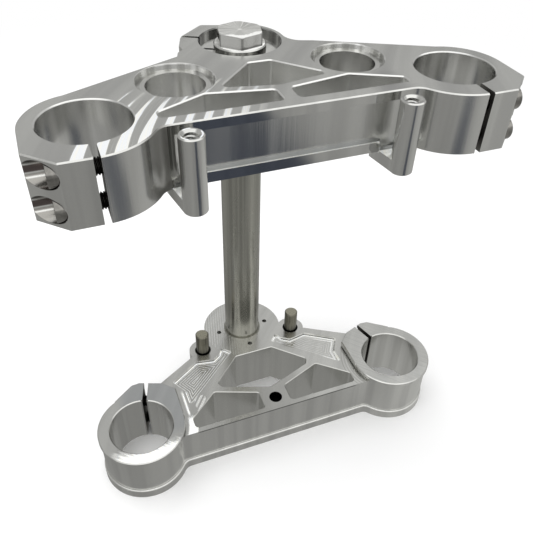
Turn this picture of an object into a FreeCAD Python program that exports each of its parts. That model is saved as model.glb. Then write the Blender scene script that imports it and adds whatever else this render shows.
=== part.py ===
import FreeCAD, Part
import math
import os

import Sketcher
from FreeCAD import Placement, Rotation, Vector

# Motorcycle triple clamp: two machined yokes on one steering stem.
# The steering axis is the Z axis, the fork tubes stand in front of it towards -Y,
# and the lower yoke's underside is the plane Z = 0.

doc = FreeCAD.newDocument("triple_clamp")
sheet = doc.addObject("Spreadsheet::Sheet", "sizes")

# Driving dimensions in millimetres and degrees
SIZES = {
    # steering geometry
    "axis_line": 0,
    "fork_spacing": 185,
    "fork_offset": 67.3,
    "fork_tube_radius": 20.5,
    "stem_radius": 12.7,
    "yoke_gap": 190.9,
    "fit_gap": 0.05,
    "thread_gap": 0.1,
    # upper yoke
    "upper_height": 32,
    "upper_side_wall": 7.6,
    "upper_front_wall": 11.8,
    "rail_front": 82.5,
    "side_flat_start": 87.3,
    "front_flat_end": 107.8,
    "rear_edge_x": 38,
    "rear_edge_y": 11.8,
    "rear_corner_x": 104.2,
    "rear_corner_y": 42.5,
    "stem_boss_wall": 3.2,
    "ring_cove_radius": 8,
    "boss_cove_radius": 10,
    "slit_width": 3.1,
    "edge_chamfer": 0.6,
    # riser seats
    "riser_spacing": 92,
    "riser_offset": 38.8,
    "riser_seat_radius": 19.05,
    "riser_seat_depth": 2.9,
    "riser_bore_radius": 14.65,
    # stem bolt recess and stem clamp ear
    "recess_radius": 22.2,
    "recess_depth": 6,
    "ear_tip_x": 29.4,
    "ear_tip_y": 14.3,
    "ear_back_x": 14.4,
    "ear_back_y": 28.3,
    "ear_heel_x": 3,
    "ear_heel_y": 24.8,
    "ear_corner_radius": 3,
    "ear_slit_width": 2,
    "ear_slit_angle": 154.5,
    "ear_screw_reach": 23,
    "ear_screw_drop": 16,
    "ear_notch_x": 38.6,
    "ear_notch_y": 1.1,
    "ear_notch_radius": 5.8,
    # lightening pockets of the upper yoke
    "upper_mid_back_x": 6,
    "upper_mid_back_y": 30.2,
    "upper_mid_side_x": 28.5,
    "upper_mid_side_y": 53.7,
    "upper_mid_tip_y": 59.2,
    "upper_side_in_x": 3.8,
    "upper_side_in_y": 63.4,
    "upper_side_peak_x": 37,
    "upper_side_peak_y": 57.8,
    "upper_side_out_x": 62,
    "upper_side_out_y": 69.4,
    "upper_side_front_y": 75.2,
    "pocket_corner_radius": 2.5,
    # front channel between the two rails
    "channel_top_drop": 5,
    "channel_height": 21.6,
    "channel_depth": 3,
    "channel_half_length": 58,
    "channel_corner_radius": 2.9,
    # bracket bosses in front of the rail
    "boss_spacing": 106.2,
    "boss_offset": 92.9,
    "boss_radius": 5.9,
    "boss_length": 38.5,
    "boss_thread_radius": 3.4,
    "boss_thread_depth": 24,
    "boss_sink_radius": 4.5,
    "boss_sink_depth": 1.1,
    "foot_rise": 0.5,
    "relief_half_length": 7.8,
    "foot_back_y": 75.6,
    "foot_flare": 3,
    # lower yoke
    "plate_height": 34.6,
    "ring_rise": 4.4,
    "lower_ring_wall": 7.9,
    "lip_inset": 1.1,
    "top_lip_height": 3,
    "bottom_lip_height": 6.5,
    "lip_cove_radius": 0.9,
    "front_cove_radius": 6,
    "lower_front_y": 82.6,
    "lower_boss_radius": 29.2,
    "arm_near_x": 44.8,
    "arm_near_y": 17.2,
    "arm_far_x": 74,
    "arm_far_y": 34.4,
    "lug_side_x": 105.4,
    "lug_side_wall": 5.4,
    "lug_out_x": 92,
    "lug_out_wall": 15.2,
    "lug_mid_x": 86.5,
    "lug_mid_wall": 15.6,
    "lug_in_x": 71.7,
    "lug_in_wall": 10.2,
    "lug_back_x": 63.9,
    "lug_back_y": 44.2,
    "lug_corner_radius": 3,
    "pocket_chamfer": 0.4,
    "lower_slit_width": 3,
    "lower_slit_angle": 17,
    # lightening pockets of the lower yoke
    "lower_mid_back_x": 14,
    "lower_mid_back_y": 27.3,
    "lower_mid_side_x": 34,
    "lower_mid_side_y": 46.6,
    "lower_mid_low_x": 32,
    "lower_mid_low_y": 50.9,
    "lower_mid_tip_y": 62.2,
    "lower_side_in_x": 9.7,
    "lower_side_in_y": 64.3,
    "lower_side_peak_x": 38.8,
    "lower_side_peak_y": 53.4,
    "lower_side_out_x": 58.6,
    "lower_side_out_y": 70,
    "lower_side_front_y": 77.9,
    # shallow milled recesses on the rear arms
    "arm_recess_depth": 2.5,
    "recess_heel_x": 15.6,
    "recess_heel_y": 21.8,
    "recess_neck_x": 21.8,
    "recess_neck_y": 15.4,
    "recess_waist_x": 24.5,
    "recess_waist_y": 20.5,
    "recess_bay_x": 30.4,
    "recess_bay_y": 24.4,
    "recess_shoulder_x": 43,
    "recess_shoulder_y": 22.2,
    "recess_end_x": 64,
    "recess_end_y": 35.4,
    "recess_toe_x": 57.8,
    "recess_toe_y": 45.6,
    "recess_foot_x": 57.6,
    "recess_foot_y": 59,
    "recess_corner_radius": 1.5,
    # holes in the lower yoke
    "front_hole_offset": 72,
    "front_hole_radius": 4.5,
    "seal_holes_circle": 37,
    "seal_hole_radius": 1.65,
    "seal_hole_depth": 8,
    # steering stops
    "stop_spacing": 70.4,
    "stop_offset": 13,
    "stop_pin_radius": 4.75,
    "stop_pin_height": 17,
    "stop_pin_seat": 16,
    "stop_well_radius": 5.9,
    "stop_well_depth": 4,
    "stop_boss_wall": 4.1,
    # stem and stem bolt
    "stem_collar_radius": 13.8,
    "stem_collar_height": 1.2,
    "stem_thread_radius": 8,
    "stem_thread_depth": 34,
    "bolt_flange_radius": 14.4,
    "bolt_flange_height": 5,
    "bolt_hex_flats": 23,
    "bolt_hex_height": 6.6,
    "bolt_hex_turn": 17,
    "bolt_crown_radius": 12.4,
    "bolt_crown_angle": 30,
    "bolt_shank_length": 28,
    # clamp screws
    "fork_screw_radius": 4,
    "fork_screw_head_radius": 5.9,
    "fork_screw_head_height": 7.5,
    "fork_screw_socket_flats": 6,
    "fork_screw_socket_depth": 3.8,
    "fork_screw_length": 21,
    "counterbore_gap": 0.5,
    "upper_screw_wall": 5.2,
    "upper_screw_spacing": 16.6,
    "upper_screw_seat": 12.6,
    "lower_screw_wall": 7.9,
    "lower_screw_spacing": 19,
    "lower_screw_seat": 5.6,
    "ear_screw_radius": 3,
    "ear_screw_head_radius": 4.8,
    "ear_screw_head_height": 6,
    "ear_screw_socket_flats": 5,
    "ear_screw_socket_depth": 3,
    "ear_screw_length": 16,
    "ear_screw_seat": 6,
    "hole_end_room": 1.5,
}

# Sizes worked out from the driving ones
DERIVED = {
    "fork_x": "fork_spacing / 2",
    "fork_y": "-fork_offset",
    "upper_base": "plate_height + yoke_gap",
    "upper_top": "upper_base + upper_height",
    "upper_side_radius": "fork_tube_radius + upper_side_wall",
    "upper_front_radius": "fork_tube_radius + upper_front_wall",
    "upper_front_y": "fork_offset + upper_front_radius",
    "upper_side_x": "fork_x + upper_side_radius",
    "upper_boss_radius": "recess_radius + stem_boss_wall",
    "stem_hole_radius": "stem_radius + fit_gap",
    "recess_floor": "upper_top - recess_depth",
    "riser_x": "riser_spacing / 2",
    "riser_y": "-riser_offset",
    "riser_floor": "upper_top - riser_seat_depth",
    "boss_x": "boss_spacing / 2",
    "boss_y": "-boss_offset",
    "boss_base": "upper_top - boss_length",
    "boss_thread_base": "upper_top - boss_thread_depth",
    "foot_height": "boss_length - upper_height + foot_rise",
    "foot_in_x": "boss_x - boss_radius",
    "foot_out_x": "boss_x + boss_radius",
    "foot_back_in_x": "foot_in_x - foot_flare",
    "foot_back_out_x": "foot_out_x + foot_flare",
    "channel_base": "upper_top - channel_top_drop - channel_height",
    "ring_height": "plate_height + ring_rise",
    "lower_ring_radius": "fork_tube_radius + lower_ring_wall",
    "lug_side_y": "fork_offset - fork_tube_radius - lug_side_wall",
    "lug_out_y": "fork_offset - fork_tube_radius - lug_out_wall",
    "lug_mid_y": "fork_offset - fork_tube_radius - lug_mid_wall",
    "lug_in_y": "fork_offset - fork_tube_radius - lug_in_wall",
    "lower_wall_y": "lower_front_y - lip_inset",
    "body_height": "plate_height - bottom_lip_height",
    "relief_height": "upper_height - channel_top_drop - channel_height + foot_rise",
    "relief_base": "upper_base - foot_rise",
    "sink_base": "upper_top - boss_sink_depth",
    "stop_x": "stop_spacing / 2",
    "stop_y": "-stop_offset",
    "stop_boss_radius": "stop_well_radius + stop_boss_wall",
    "stop_well_floor": "plate_height - stop_well_depth",
    "stop_pin_base": "plate_height - stop_pin_seat",
    "stop_hole_radius": "stop_pin_radius + fit_gap",
    "arm_recess_floor": "plate_height - arm_recess_depth",
    "front_hole_y": "-front_hole_offset",
    "seal_hole_base": "plate_height - seal_hole_depth",
    "stem_top": "recess_floor",
    "stem_thread_base": "stem_top - stem_thread_depth",
    "bolt_shank_radius": "stem_thread_radius - thread_gap",
    "upper_screw_offset": "fork_offset + fork_tube_radius + upper_screw_wall",
    "upper_screw_high": "upper_base + (upper_height + upper_screw_spacing) / 2",
    "upper_screw_low": "upper_base + (upper_height - upper_screw_spacing) / 2",
    "lower_screw_reach": "fork_tube_radius + lower_screw_wall",
    "lower_screw_high": "(ring_height + lower_screw_spacing) / 2",
    "lower_screw_low": "(ring_height - lower_screw_spacing) / 2",
    "ear_screw_level": "upper_top - ear_screw_drop",
}

# Quarter turn in degrees, and the distance under which two points count as one
QUARTER = 90
TOUCH = 1e-4


def fill_sheet():
    row = 1
    for alias, size in SIZES.items():
        sheet.set("A%d" % row, alias.replace("_", " "))
        sheet.set("B%d" % row, str(size))
        sheet.setAlias("B%d" % row, alias)
        row += 1
    for alias, formula in DERIVED.items():
        sheet.set("A%d" % row, alias.replace("_", " "))
        sheet.set("B%d" % row, "=" + formula)
        sheet.setAlias("B%d" % row, alias)
        row += 1
    doc.recompute()


def value(term):
    """Number behind a size name, with a leading minus for its mirror image."""
    if term.startswith("-"):
        return -float(sheet.get(term[1:]))
    return float(sheet.get(term))


def link(term):
    """Expression that ties a property to a size name."""
    if term.startswith("-"):
        return "-sizes." + term[1:]
    return "sizes." + term


def tie(item, **terms):
    for name, term in terms.items():
        item.setExpression(name.replace("__", "."), link(term))
    return item


def place(item, x, y, z):
    return tie(item, Placement__Base__x=x, Placement__Base__y=y, Placement__Base__z=z)


def cylinder(name, radius, height, x="axis_line", y="axis_line", z="axis_line"):
    item = doc.addObject("Part::Cylinder", name)
    tie(item, Radius=radius, Height=height)
    return place(item, x, y, z)


def prism(name, corners, height, z):
    """Upright solid on a sketched outline whose corners are pairs of size names."""
    sketch = doc.addObject("Sketcher::SketchObject", name + "_outline")
    points = [Vector(value(x), value(y), 0) for x, y in corners]
    count = len(points)
    for i in range(count):
        sketch.addGeometry(Part.LineSegment(points[i], points[(i + 1) % count]))
    for i in range(count):
        sketch.addConstraint(Sketcher.Constraint("Coincident", i, 2, (i + 1) % count, 1))
    for i, (x, y) in enumerate(corners):
        across = sketch.addConstraint(Sketcher.Constraint("DistanceX", -1, 1, i, 1, points[i].x))
        sketch.setExpression("Constraints[%d]" % across, link(x))
        along = sketch.addConstraint(Sketcher.Constraint("DistanceY", -1, 1, i, 1, points[i].y))
        sketch.setExpression("Constraints[%d]" % along, link(y))
    tie(sketch, Placement__Base__z=z)
    solid = doc.addObject("Part::Extrusion", name)
    solid.Base = sketch
    solid.DirMode = "Normal"
    solid.Solid = True
    tie(solid, LengthFwd=height)
    return solid


def mirrored(corners):
    """The same outline on the other side of the plane X = 0, in turning order."""
    flipped = []
    for x, y in reversed(corners):
        flipped.append((x[1:] if x.startswith("-") else "-" + x, y))
    return flipped


def union(name, items):
    item = doc.addObject("Part::MultiFuse", name)
    item.Shapes = items
    item.Refine = True
    return item


def cut(name, base, items):
    tool = items[0]
    if len(items) > 1:
        tool = union(name + "_tools", items)
        tool.Refine = False
    item = doc.addObject("Part::Cut", name)
    item.Base = base
    item.Tool = tool
    return item


def upright_edges(shape, spots=None, reach=0.5):
    """Vertical straight edges, or only those that pass near the given plan points."""
    found = []
    for number, edge in enumerate(shape.Edges, 1):
        first, last = edge.Vertexes[0].Point, edge.Vertexes[-1].Point
        leans = math.hypot(first.x - last.x, first.y - last.y) > TOUCH
        if leans or edge.Curve.TypeId != "Part::GeomLine":
            continue
        near = [s for s in spots or [] if math.hypot(first.x - s[0], first.y - s[1]) < reach]
        if spots is None or near:
            found.append(number)
    return found


def level_edges(shape, level):
    """Edges that lie in one horizontal plane."""
    found = []
    for number, edge in enumerate(shape.Edges, 1):
        box = edge.BoundBox
        if abs(box.ZMin - level) < TOUCH and abs(box.ZMax - level) < TOUCH:
            found.append(number)
    return found


def wall_bases(shape, level):
    """Edges in one horizontal plane from which a wall rises."""
    bases = []
    for face in shape.Faces:
        if face.BoundBox.ZMin > level - TOUCH and face.BoundBox.ZMax > level + TOUCH:
            bases += [edge.CenterOfMass for edge in face.Edges]
    return shared_edges(shape, level, bases)


def shared_edges(shape, level, middles):
    """Edges in one horizontal plane whose centres are among the given points."""
    found = []
    for number in level_edges(shape, level):
        middle = shape.Edges[number - 1].CenterOfMass
        if [m for m in middles if m.distanceToPoint(middle) < TOUCH]:
            found.append(number)
    return found


def dressed(kind, name, base, numbers, size):
    """Fillet or chamfer of one size on numbered edges."""
    item = doc.addObject("Part::" + kind, name)
    item.Base = base
    item.Edges = [(number, value(size), value(size)) for number in numbers]
    return item


def rounded_prism(name, corners, height, z, radius):
    solid = prism(name + "_block", corners, height, z)
    doc.recompute()
    return dressed("Fillet", name, solid, upright_edges(solid.Shape), radius)


def turned(item, origin, direction):
    """Lays an upright item along a direction, with its base centre at a point."""
    item.Placement = Placement(origin, Rotation(Vector(0, 0, 1), direction))
    return item


def rod(name, radius, length, origin, direction):
    item = doc.addObject("Part::Cylinder", name)
    item.Radius = radius
    item.Height = length
    return turned(item, origin, direction)


def socket_screw(name, size, seat, direction):
    """Cap screw with a hexagon socket: the head stands on the seat, the shank runs against direction."""
    head_radius = value(size + "_head_radius")
    head_height = value(size + "_head_height")
    radius = value(size + "_radius") - value("thread_gap")
    shank = rod(name + "_shank", radius, value(size + "_length"), seat, -direction)
    head = rod(name + "_head", head_radius, head_height, seat, direction)
    doc.recompute()
    rim = []
    for number, edge in enumerate(head.Shape.Edges, 1):
        if abs((edge.CenterOfMass - seat).dot(direction) - head_height) < TOUCH:
            rim.append(number)
    eased = dressed("Chamfer", name + "_eased", head, rim, "edge_chamfer")
    socket = doc.addObject("Part::Prism", name + "_socket")
    socket.Polygon = 6
    socket.Circumradius = value(size + "_socket_flats") / math.sqrt(3)
    socket.Height = value(size + "_socket_depth")
    turned(socket, seat + direction * (head_height - value(size + "_socket_depth")), direction)
    solid = union(name + "_blank", [shank, eased])
    screw = cut(name, solid, [socket])
    screw.Label = name
    return screw


def screw_holes(name, size, seat, direction, mouth, clear_length):
    """Counterbore, clearance hole and threaded hole for one cap screw."""
    gap = value("counterbore_gap")
    bore = rod(name + "_counterbore", value(size + "_head_radius") + gap, mouth, seat, direction)
    reach = value(size + "_length") + value("hole_end_room")
    hole = rod(name + "_thread", value(size + "_radius"), reach, seat, -direction)
    wide = rod(name + "_clearance", value(size + "_radius") + gap, clear_length, seat, -direction)
    return [bore, hole, wide]


def upper_screw_places():
    """Name, seat centre and outward direction of each fork clamp screw in the upper yoke."""
    places = []
    for side, word in ((-1, "left"), (1, "right")):
        for level, height in (("upper_screw_high", "high"), ("upper_screw_low", "low")):
            x = side * (value("fork_x") + value("upper_screw_seat"))
            seat = Vector(x, -value("upper_screw_offset"), value(level))
            places.append(("upper_clamp_screw_%s_%s" % (word, height), seat, Vector(side, 0, 0)))
    return places


def lower_slit_direction(side):
    angle = math.radians(value("lower_slit_angle"))
    return Vector(-side * math.sin(angle), math.cos(angle), 0)


def lower_screw_places():
    """Name, seat centre and outward direction of each fork clamp screw in the lower yoke."""
    places = []
    for side, word in ((-1, "left"), (1, "right")):
        slit = lower_slit_direction(side)
        across = Vector(side * slit.y, -side * slit.x, 0)
        for level, height in (("lower_screw_high", "high"), ("lower_screw_low", "low")):
            fork = Vector(side * value("fork_x"), value("fork_y"), value(level))
            seat = fork + slit * value("lower_screw_reach") + across * value("lower_screw_seat")
            places.append(("lower_clamp_screw_%s_%s" % (word, height), seat, across))
    return places


def ear_screw_place():
    """Seat centre and outward direction of the screw that pinches the stem from behind."""
    angle = math.radians(value("ear_slit_angle"))
    slit = Vector(math.cos(angle), math.sin(angle), 0)
    across = Vector(slit.y, -slit.x, 0)
    middle = slit * value("ear_screw_reach") + Vector(0, 0, value("ear_screw_level"))
    return middle + across * value("ear_screw_seat"), across


def slit_box(name, width, start, end, base, height, centre, direction):
    """Saw cut that runs from a centre line outwards."""
    box = doc.addObject("Part::Box", name)
    box.Length = end - start
    box.Width = width
    box.Height = height
    side = Vector(-direction.y, direction.x, 0)
    corner = centre + direction * start - side * (width / 2)
    angle = math.degrees(math.atan2(direction.y, direction.x))
    box.Placement = Placement(Vector(corner.x, corner.y, base), Rotation(Vector(0, 0, 1), angle))
    return box


def front_shoulder(side, word):
    """Thick front half of one fork ring: a quarter round inboard and two flats outboard."""
    quarter = cylinder("shoulder_round_" + word, "upper_front_radius", "upper_height")
    quarter.Angle = QUARTER
    start = 2 * QUARTER if side > 0 else 3 * QUARTER
    quarter.Placement.Rotation = Rotation(Vector(0, 0, 1), start)
    fork = "fork_x" if side > 0 else "-fork_x"
    place(quarter, fork, "fork_y", "upper_base")
    corners = [
        ("fork_x", "fork_y"),
        ("fork_x", "-upper_front_y"),
        ("front_flat_end", "-upper_front_y"),
        ("upper_side_x", "-side_flat_start"),
        ("upper_side_x", "fork_y"),
    ]
    if side < 0:
        corners = mirrored(corners)
    block = prism("shoulder_flats_" + word, corners, "upper_height", "upper_base")
    return [quarter, block]


def bracket_boss(side, word):
    """Tapped post in front of the rail, on a foot that runs back under the yoke."""
    post_x = "boss_x" if side > 0 else "-boss_x"
    blank = cylinder("post_blank_" + word, "boss_radius", "boss_length", post_x, "boss_y", "boss_base")
    doc.recompute()
    rim = level_edges(blank.Shape, value("upper_top"))
    post = dressed("Chamfer", "post_" + word, blank, rim, "edge_chamfer")
    corners = [
        ("foot_in_x", "boss_y"),
        ("foot_back_in_x", "-foot_back_y"),
        ("foot_back_out_x", "-foot_back_y"),
        ("foot_out_x", "boss_y"),
    ]
    if side < 0:
        corners = mirrored(corners)
    foot = prism("foot_" + word, corners, "foot_height", "boss_base")
    boss = union("boss_blank_" + word, [post, foot])
    doc.recompute()
    rim = level_edges(boss.Shape, value("boss_base"))
    return dressed("Chamfer", "boss_" + word, boss, rim, "edge_chamfer")


def make_top_yoke():
    """Upper yoke, machined from one block."""
    web = prism("upper_web", [
        ("-fork_x", "-rail_front"),
        ("fork_x", "-rail_front"),
        ("rear_corner_x", "-rear_corner_y"),
        ("rear_edge_x", "-rear_edge_y"),
        ("axis_line", "axis_line"),
        ("-rear_edge_x", "-rear_edge_y"),
        ("-rear_corner_x", "-rear_corner_y"),
    ], "upper_height", "upper_base")
    ear = prism("stem_ear", [
        ("-rear_edge_x", "-rear_edge_y"),
        ("axis_line", "-rear_edge_y"),
        ("-ear_heel_x", "ear_heel_y"),
        ("-ear_back_x", "ear_back_y"),
        ("-ear_tip_x", "ear_tip_y"),
    ], "upper_height", "upper_base")
    solids = [web, ear]
    solids.append(cylinder("stem_boss", "upper_boss_radius", "upper_height", z="upper_base"))
    for side, word in ((-1, "left"), (1, "right")):
        fork = "fork_x" if side > 0 else "-fork_x"
        solids.append(cylinder("fork_ring_" + word, "upper_side_radius", "upper_height", fork, "fork_y", "upper_base"))
        solids += front_shoulder(side, word)
    block = union("upper_block", solids)
    doc.recompute()

    # coves where the rings meet the front rail and where the stem boss meets the rear edge
    drop = value("rail_front") - value("fork_offset")
    meet = value("fork_x") - math.sqrt(value("upper_front_radius") ** 2 - drop ** 2)
    spots = [(-meet, -value("rail_front")), (meet, -value("rail_front"))]
    railed = dressed("Fillet", "upper_railed", block, upright_edges(block.Shape, spots), "ring_cove_radius")
    doc.recompute()
    slope = math.atan2(-value("rear_edge_y"), value("rear_edge_x"))
    spots = [(value("upper_boss_radius") * math.cos(slope), value("upper_boss_radius") * math.sin(slope))]
    coved = dressed("Fillet", "upper_coved", railed, upright_edges(railed.Shape, spots), "boss_cove_radius")
    doc.recompute()
    spots = [(-value("ear_back_x"), value("ear_back_y")), (-value("ear_tip_x"), value("ear_tip_y"))]
    eared = dressed("Fillet", "upper_eared", coved, upright_edges(coved.Shape, spots), "ear_corner_radius")
    doc.recompute()

    tools = [cylinder("stem_hole", "stem_hole_radius", "upper_height", z="upper_base")]
    tools.append(cylinder("stem_recess", "recess_radius", "recess_depth", z="recess_floor"))
    notch = cylinder("ear_notch", "ear_notch_radius", "upper_height", "-ear_notch_x", "-ear_notch_y", "upper_base")
    tools.append(notch)
    middle = [
        ("-upper_mid_back_x", "-upper_mid_back_y"),
        ("-upper_mid_side_x", "-upper_mid_side_y"),
        ("axis_line", "-upper_mid_tip_y"),
        ("upper_mid_side_x", "-upper_mid_side_y"),
        ("upper_mid_back_x", "-upper_mid_back_y"),
    ]
    side_pocket = [
        ("upper_side_in_x", "-upper_side_in_y"),
        ("upper_side_in_x", "-upper_side_front_y"),
        ("upper_side_out_x", "-upper_side_front_y"),
        ("upper_side_out_x", "-upper_side_out_y"),
        ("upper_side_peak_x", "-upper_side_peak_y"),
    ]
    outlines = [("middle", middle), ("right", side_pocket), ("left", mirrored(side_pocket))]
    for word, corners in outlines:
        name = "upper_pocket_" + word
        tools.append(rounded_prism(name, corners, "upper_height", "upper_base", "pocket_corner_radius"))
    for word, fork, riser in (("left", "-fork_x", "-riser_x"), ("right", "fork_x", "riser_x")):
        tools.append(cylinder("upper_bore_" + word, "fork_tube_radius", "upper_height", fork, "fork_y", "upper_base"))
        hole = cylinder("riser_bore_" + word, "riser_bore_radius", "upper_height", riser, "riser_y", "upper_base")
        seat = cylinder("riser_seat_" + word, "riser_seat_radius", "riser_seat_depth", riser, "riser_y", "riser_floor")
        tools += [hole, seat]
    opened = cut("upper_opened", eared, tools)
    doc.recompute()
    crisp = dressed("Chamfer", "upper_crisp", opened, level_edges(opened.Shape, value("upper_top")), "edge_chamfer")
    doc.recompute()

    posts = []
    for side, word in ((-1, "left"), (1, "right")):
        posts.append(bracket_boss(side, word))
    bossed = union("upper_bossed", [crisp] + posts)

    tools = []
    channel = doc.addObject("Part::Box", "channel_block")
    channel.Length = 2 * value("channel_half_length")
    tie(channel, Width="channel_depth", Height="channel_height")
    place(channel, "-channel_half_length", "-rail_front", "channel_base")
    doc.recompute()
    back = channel_corners(0, value("channel_half_length"))
    tools.append(dressed("Fillet", "channel", channel, upright_edges(channel.Shape, back), "channel_corner_radius"))
    base, height = value("upper_base"), value("upper_height")
    for side, word, term in ((-1, "left", "-boss_x"), (1, "right", "boss_x")):
        thread = cylinder("boss_thread_" + word, "boss_thread_radius", "boss_thread_depth", term, "boss_y")
        tools.append(tie(thread, Placement__Base__z="boss_thread_base"))
        sink = doc.addObject("Part::Cone", "boss_sink_" + word)
        tie(sink, Radius1="boss_thread_radius", Radius2="boss_sink_radius", Height="boss_sink_depth")
        tools.append(place(sink, term, "boss_y", "sink_base"))
        tools.append(post_relief(side, word))
        fork = Vector(side * value("fork_x"), value("fork_y"), 0)
        start = value("fork_tube_radius") / 2
        end = value("upper_front_radius") + value("slit_width")
        forward = Vector(0, -1, 0)
        tools.append(slit_box("upper_slit_" + word, value("slit_width"), start, end, base, height, fork, forward))
    angle = math.radians(value("ear_slit_angle"))
    outward = Vector(math.cos(angle), math.sin(angle), 0)
    end = value("rear_edge_x") + value("ear_slit_width")
    start = value("stem_radius") / 2
    width = value("ear_slit_width")
    tools.append(slit_box("ear_slit", width, start, end, base, height, Vector(0, 0, 0), outward))
    for name, seat, direction in upper_screw_places():
        clear = value("upper_screw_seat")
        tools += screw_holes(name, "fork_screw", seat, direction, value("upper_side_radius"), clear)
    seat, direction = ear_screw_place()
    tools += screw_holes("stem_clamp_screw", "ear_screw", seat, direction, value("rear_edge_x"), value("ear_screw_seat"))
    yoke = cut("top_yoke", bossed, tools)
    yoke.Label = "top_yoke"
    return yoke


def post_relief(side, word):
    """Milled clearance in the lower rail behind one bracket post."""
    box = doc.addObject("Part::Box", "relief_block_" + word)
    tie(box, Width="channel_depth", Height="relief_height")
    box.Length = 2 * value("relief_half_length")
    place(box, "axis_line", "-rail_front", "relief_base")
    box.setExpression("Placement.Base.x", "%d * sizes.boss_x - sizes.relief_half_length" % side)
    doc.recompute()
    back = channel_corners(side * value("boss_x"), value("relief_half_length"))
    return dressed("Fillet", "relief_" + word, box, upright_edges(box.Shape, back), "channel_corner_radius")


def channel_corners(middle, half_length):
    """Plan points of the two inner corners of a slot milled in the front rail."""
    depth = value("channel_depth") - value("rail_front")
    return [(middle - half_length, depth), (middle + half_length, depth)]


def lug_corners(side, inset):
    """Outline of the split lug behind one lower ring, moved in by an inset."""
    names = ["lug_side", "lug_out", "lug_mid", "lug_in", "lug_back"]
    points = [Vector(side * value(n + "_x"), -value(n + "_y"), 0) for n in names]
    points.append(Vector(side * value("lug_back_x"), value("fork_y"), 0))
    points.append(Vector(side * value("fork_x"), value("fork_y"), 0))
    wire = Part.makePolygon(points + points[:1])
    return Part.Face(wire).makeOffset2D(-inset) if inset else Part.Face(wire)


def collar(word, side, label, inset, base, top):
    """One height of a lower fork ring with its lug."""
    name = "%s_%s" % (label, word)
    blank = doc.addObject("Part::Feature", "lug_blank_" + name)
    blank.Shape = lug_corners(side, inset).extrude(Vector(0, 0, top - base))
    blank.Placement.Base.z = base
    spots = [(side * value(n + "_x"), -value(n + "_y")) for n in ("lug_out", "lug_in")]
    reach = value("lug_corner_radius")
    lug = dressed("Fillet", "lug_" + name, blank, upright_edges(blank.Shape, spots, reach), "lug_corner_radius")
    ring = doc.addObject("Part::Feature", "ring_" + name)
    centre = Vector(side * value("fork_x"), value("fork_y"), base)
    ring.Shape = Part.makeCylinder(value("lower_ring_radius") - inset, top - base, centre)
    return union("collar_" + name, [ring, lug])


def lower_layer(label, front, inset, base, height, top):
    """One height of the lower yoke's web and rings, with coves where they meet in front."""
    corners = [
        ("-fork_x", "-" + front),
        ("fork_x", "-" + front),
        ("arm_far_x", "-arm_far_y"),
        ("arm_near_x", "-arm_near_y"),
        ("axis_line", "axis_line"),
        ("-arm_near_x", "-arm_near_y"),
        ("-arm_far_x", "-arm_far_y"),
    ]
    solids = [prism("web_" + label, corners, height, base)]
    for side, word in ((-1, "left"), (1, "right")):
        solids.append(collar(word, side, label, inset, value(base), top))
    block = union("layer_" + label, solids)
    doc.recompute()
    drop = value(front) - value("fork_offset")
    meet = value("fork_x") - math.sqrt((value("lower_ring_radius") - inset) ** 2 - drop ** 2)
    spots = [(-meet, -value(front)), (meet, -value(front))]
    return dressed("Fillet", "coved_" + label, block, upright_edges(block.Shape, spots), "front_cove_radius")


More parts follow.
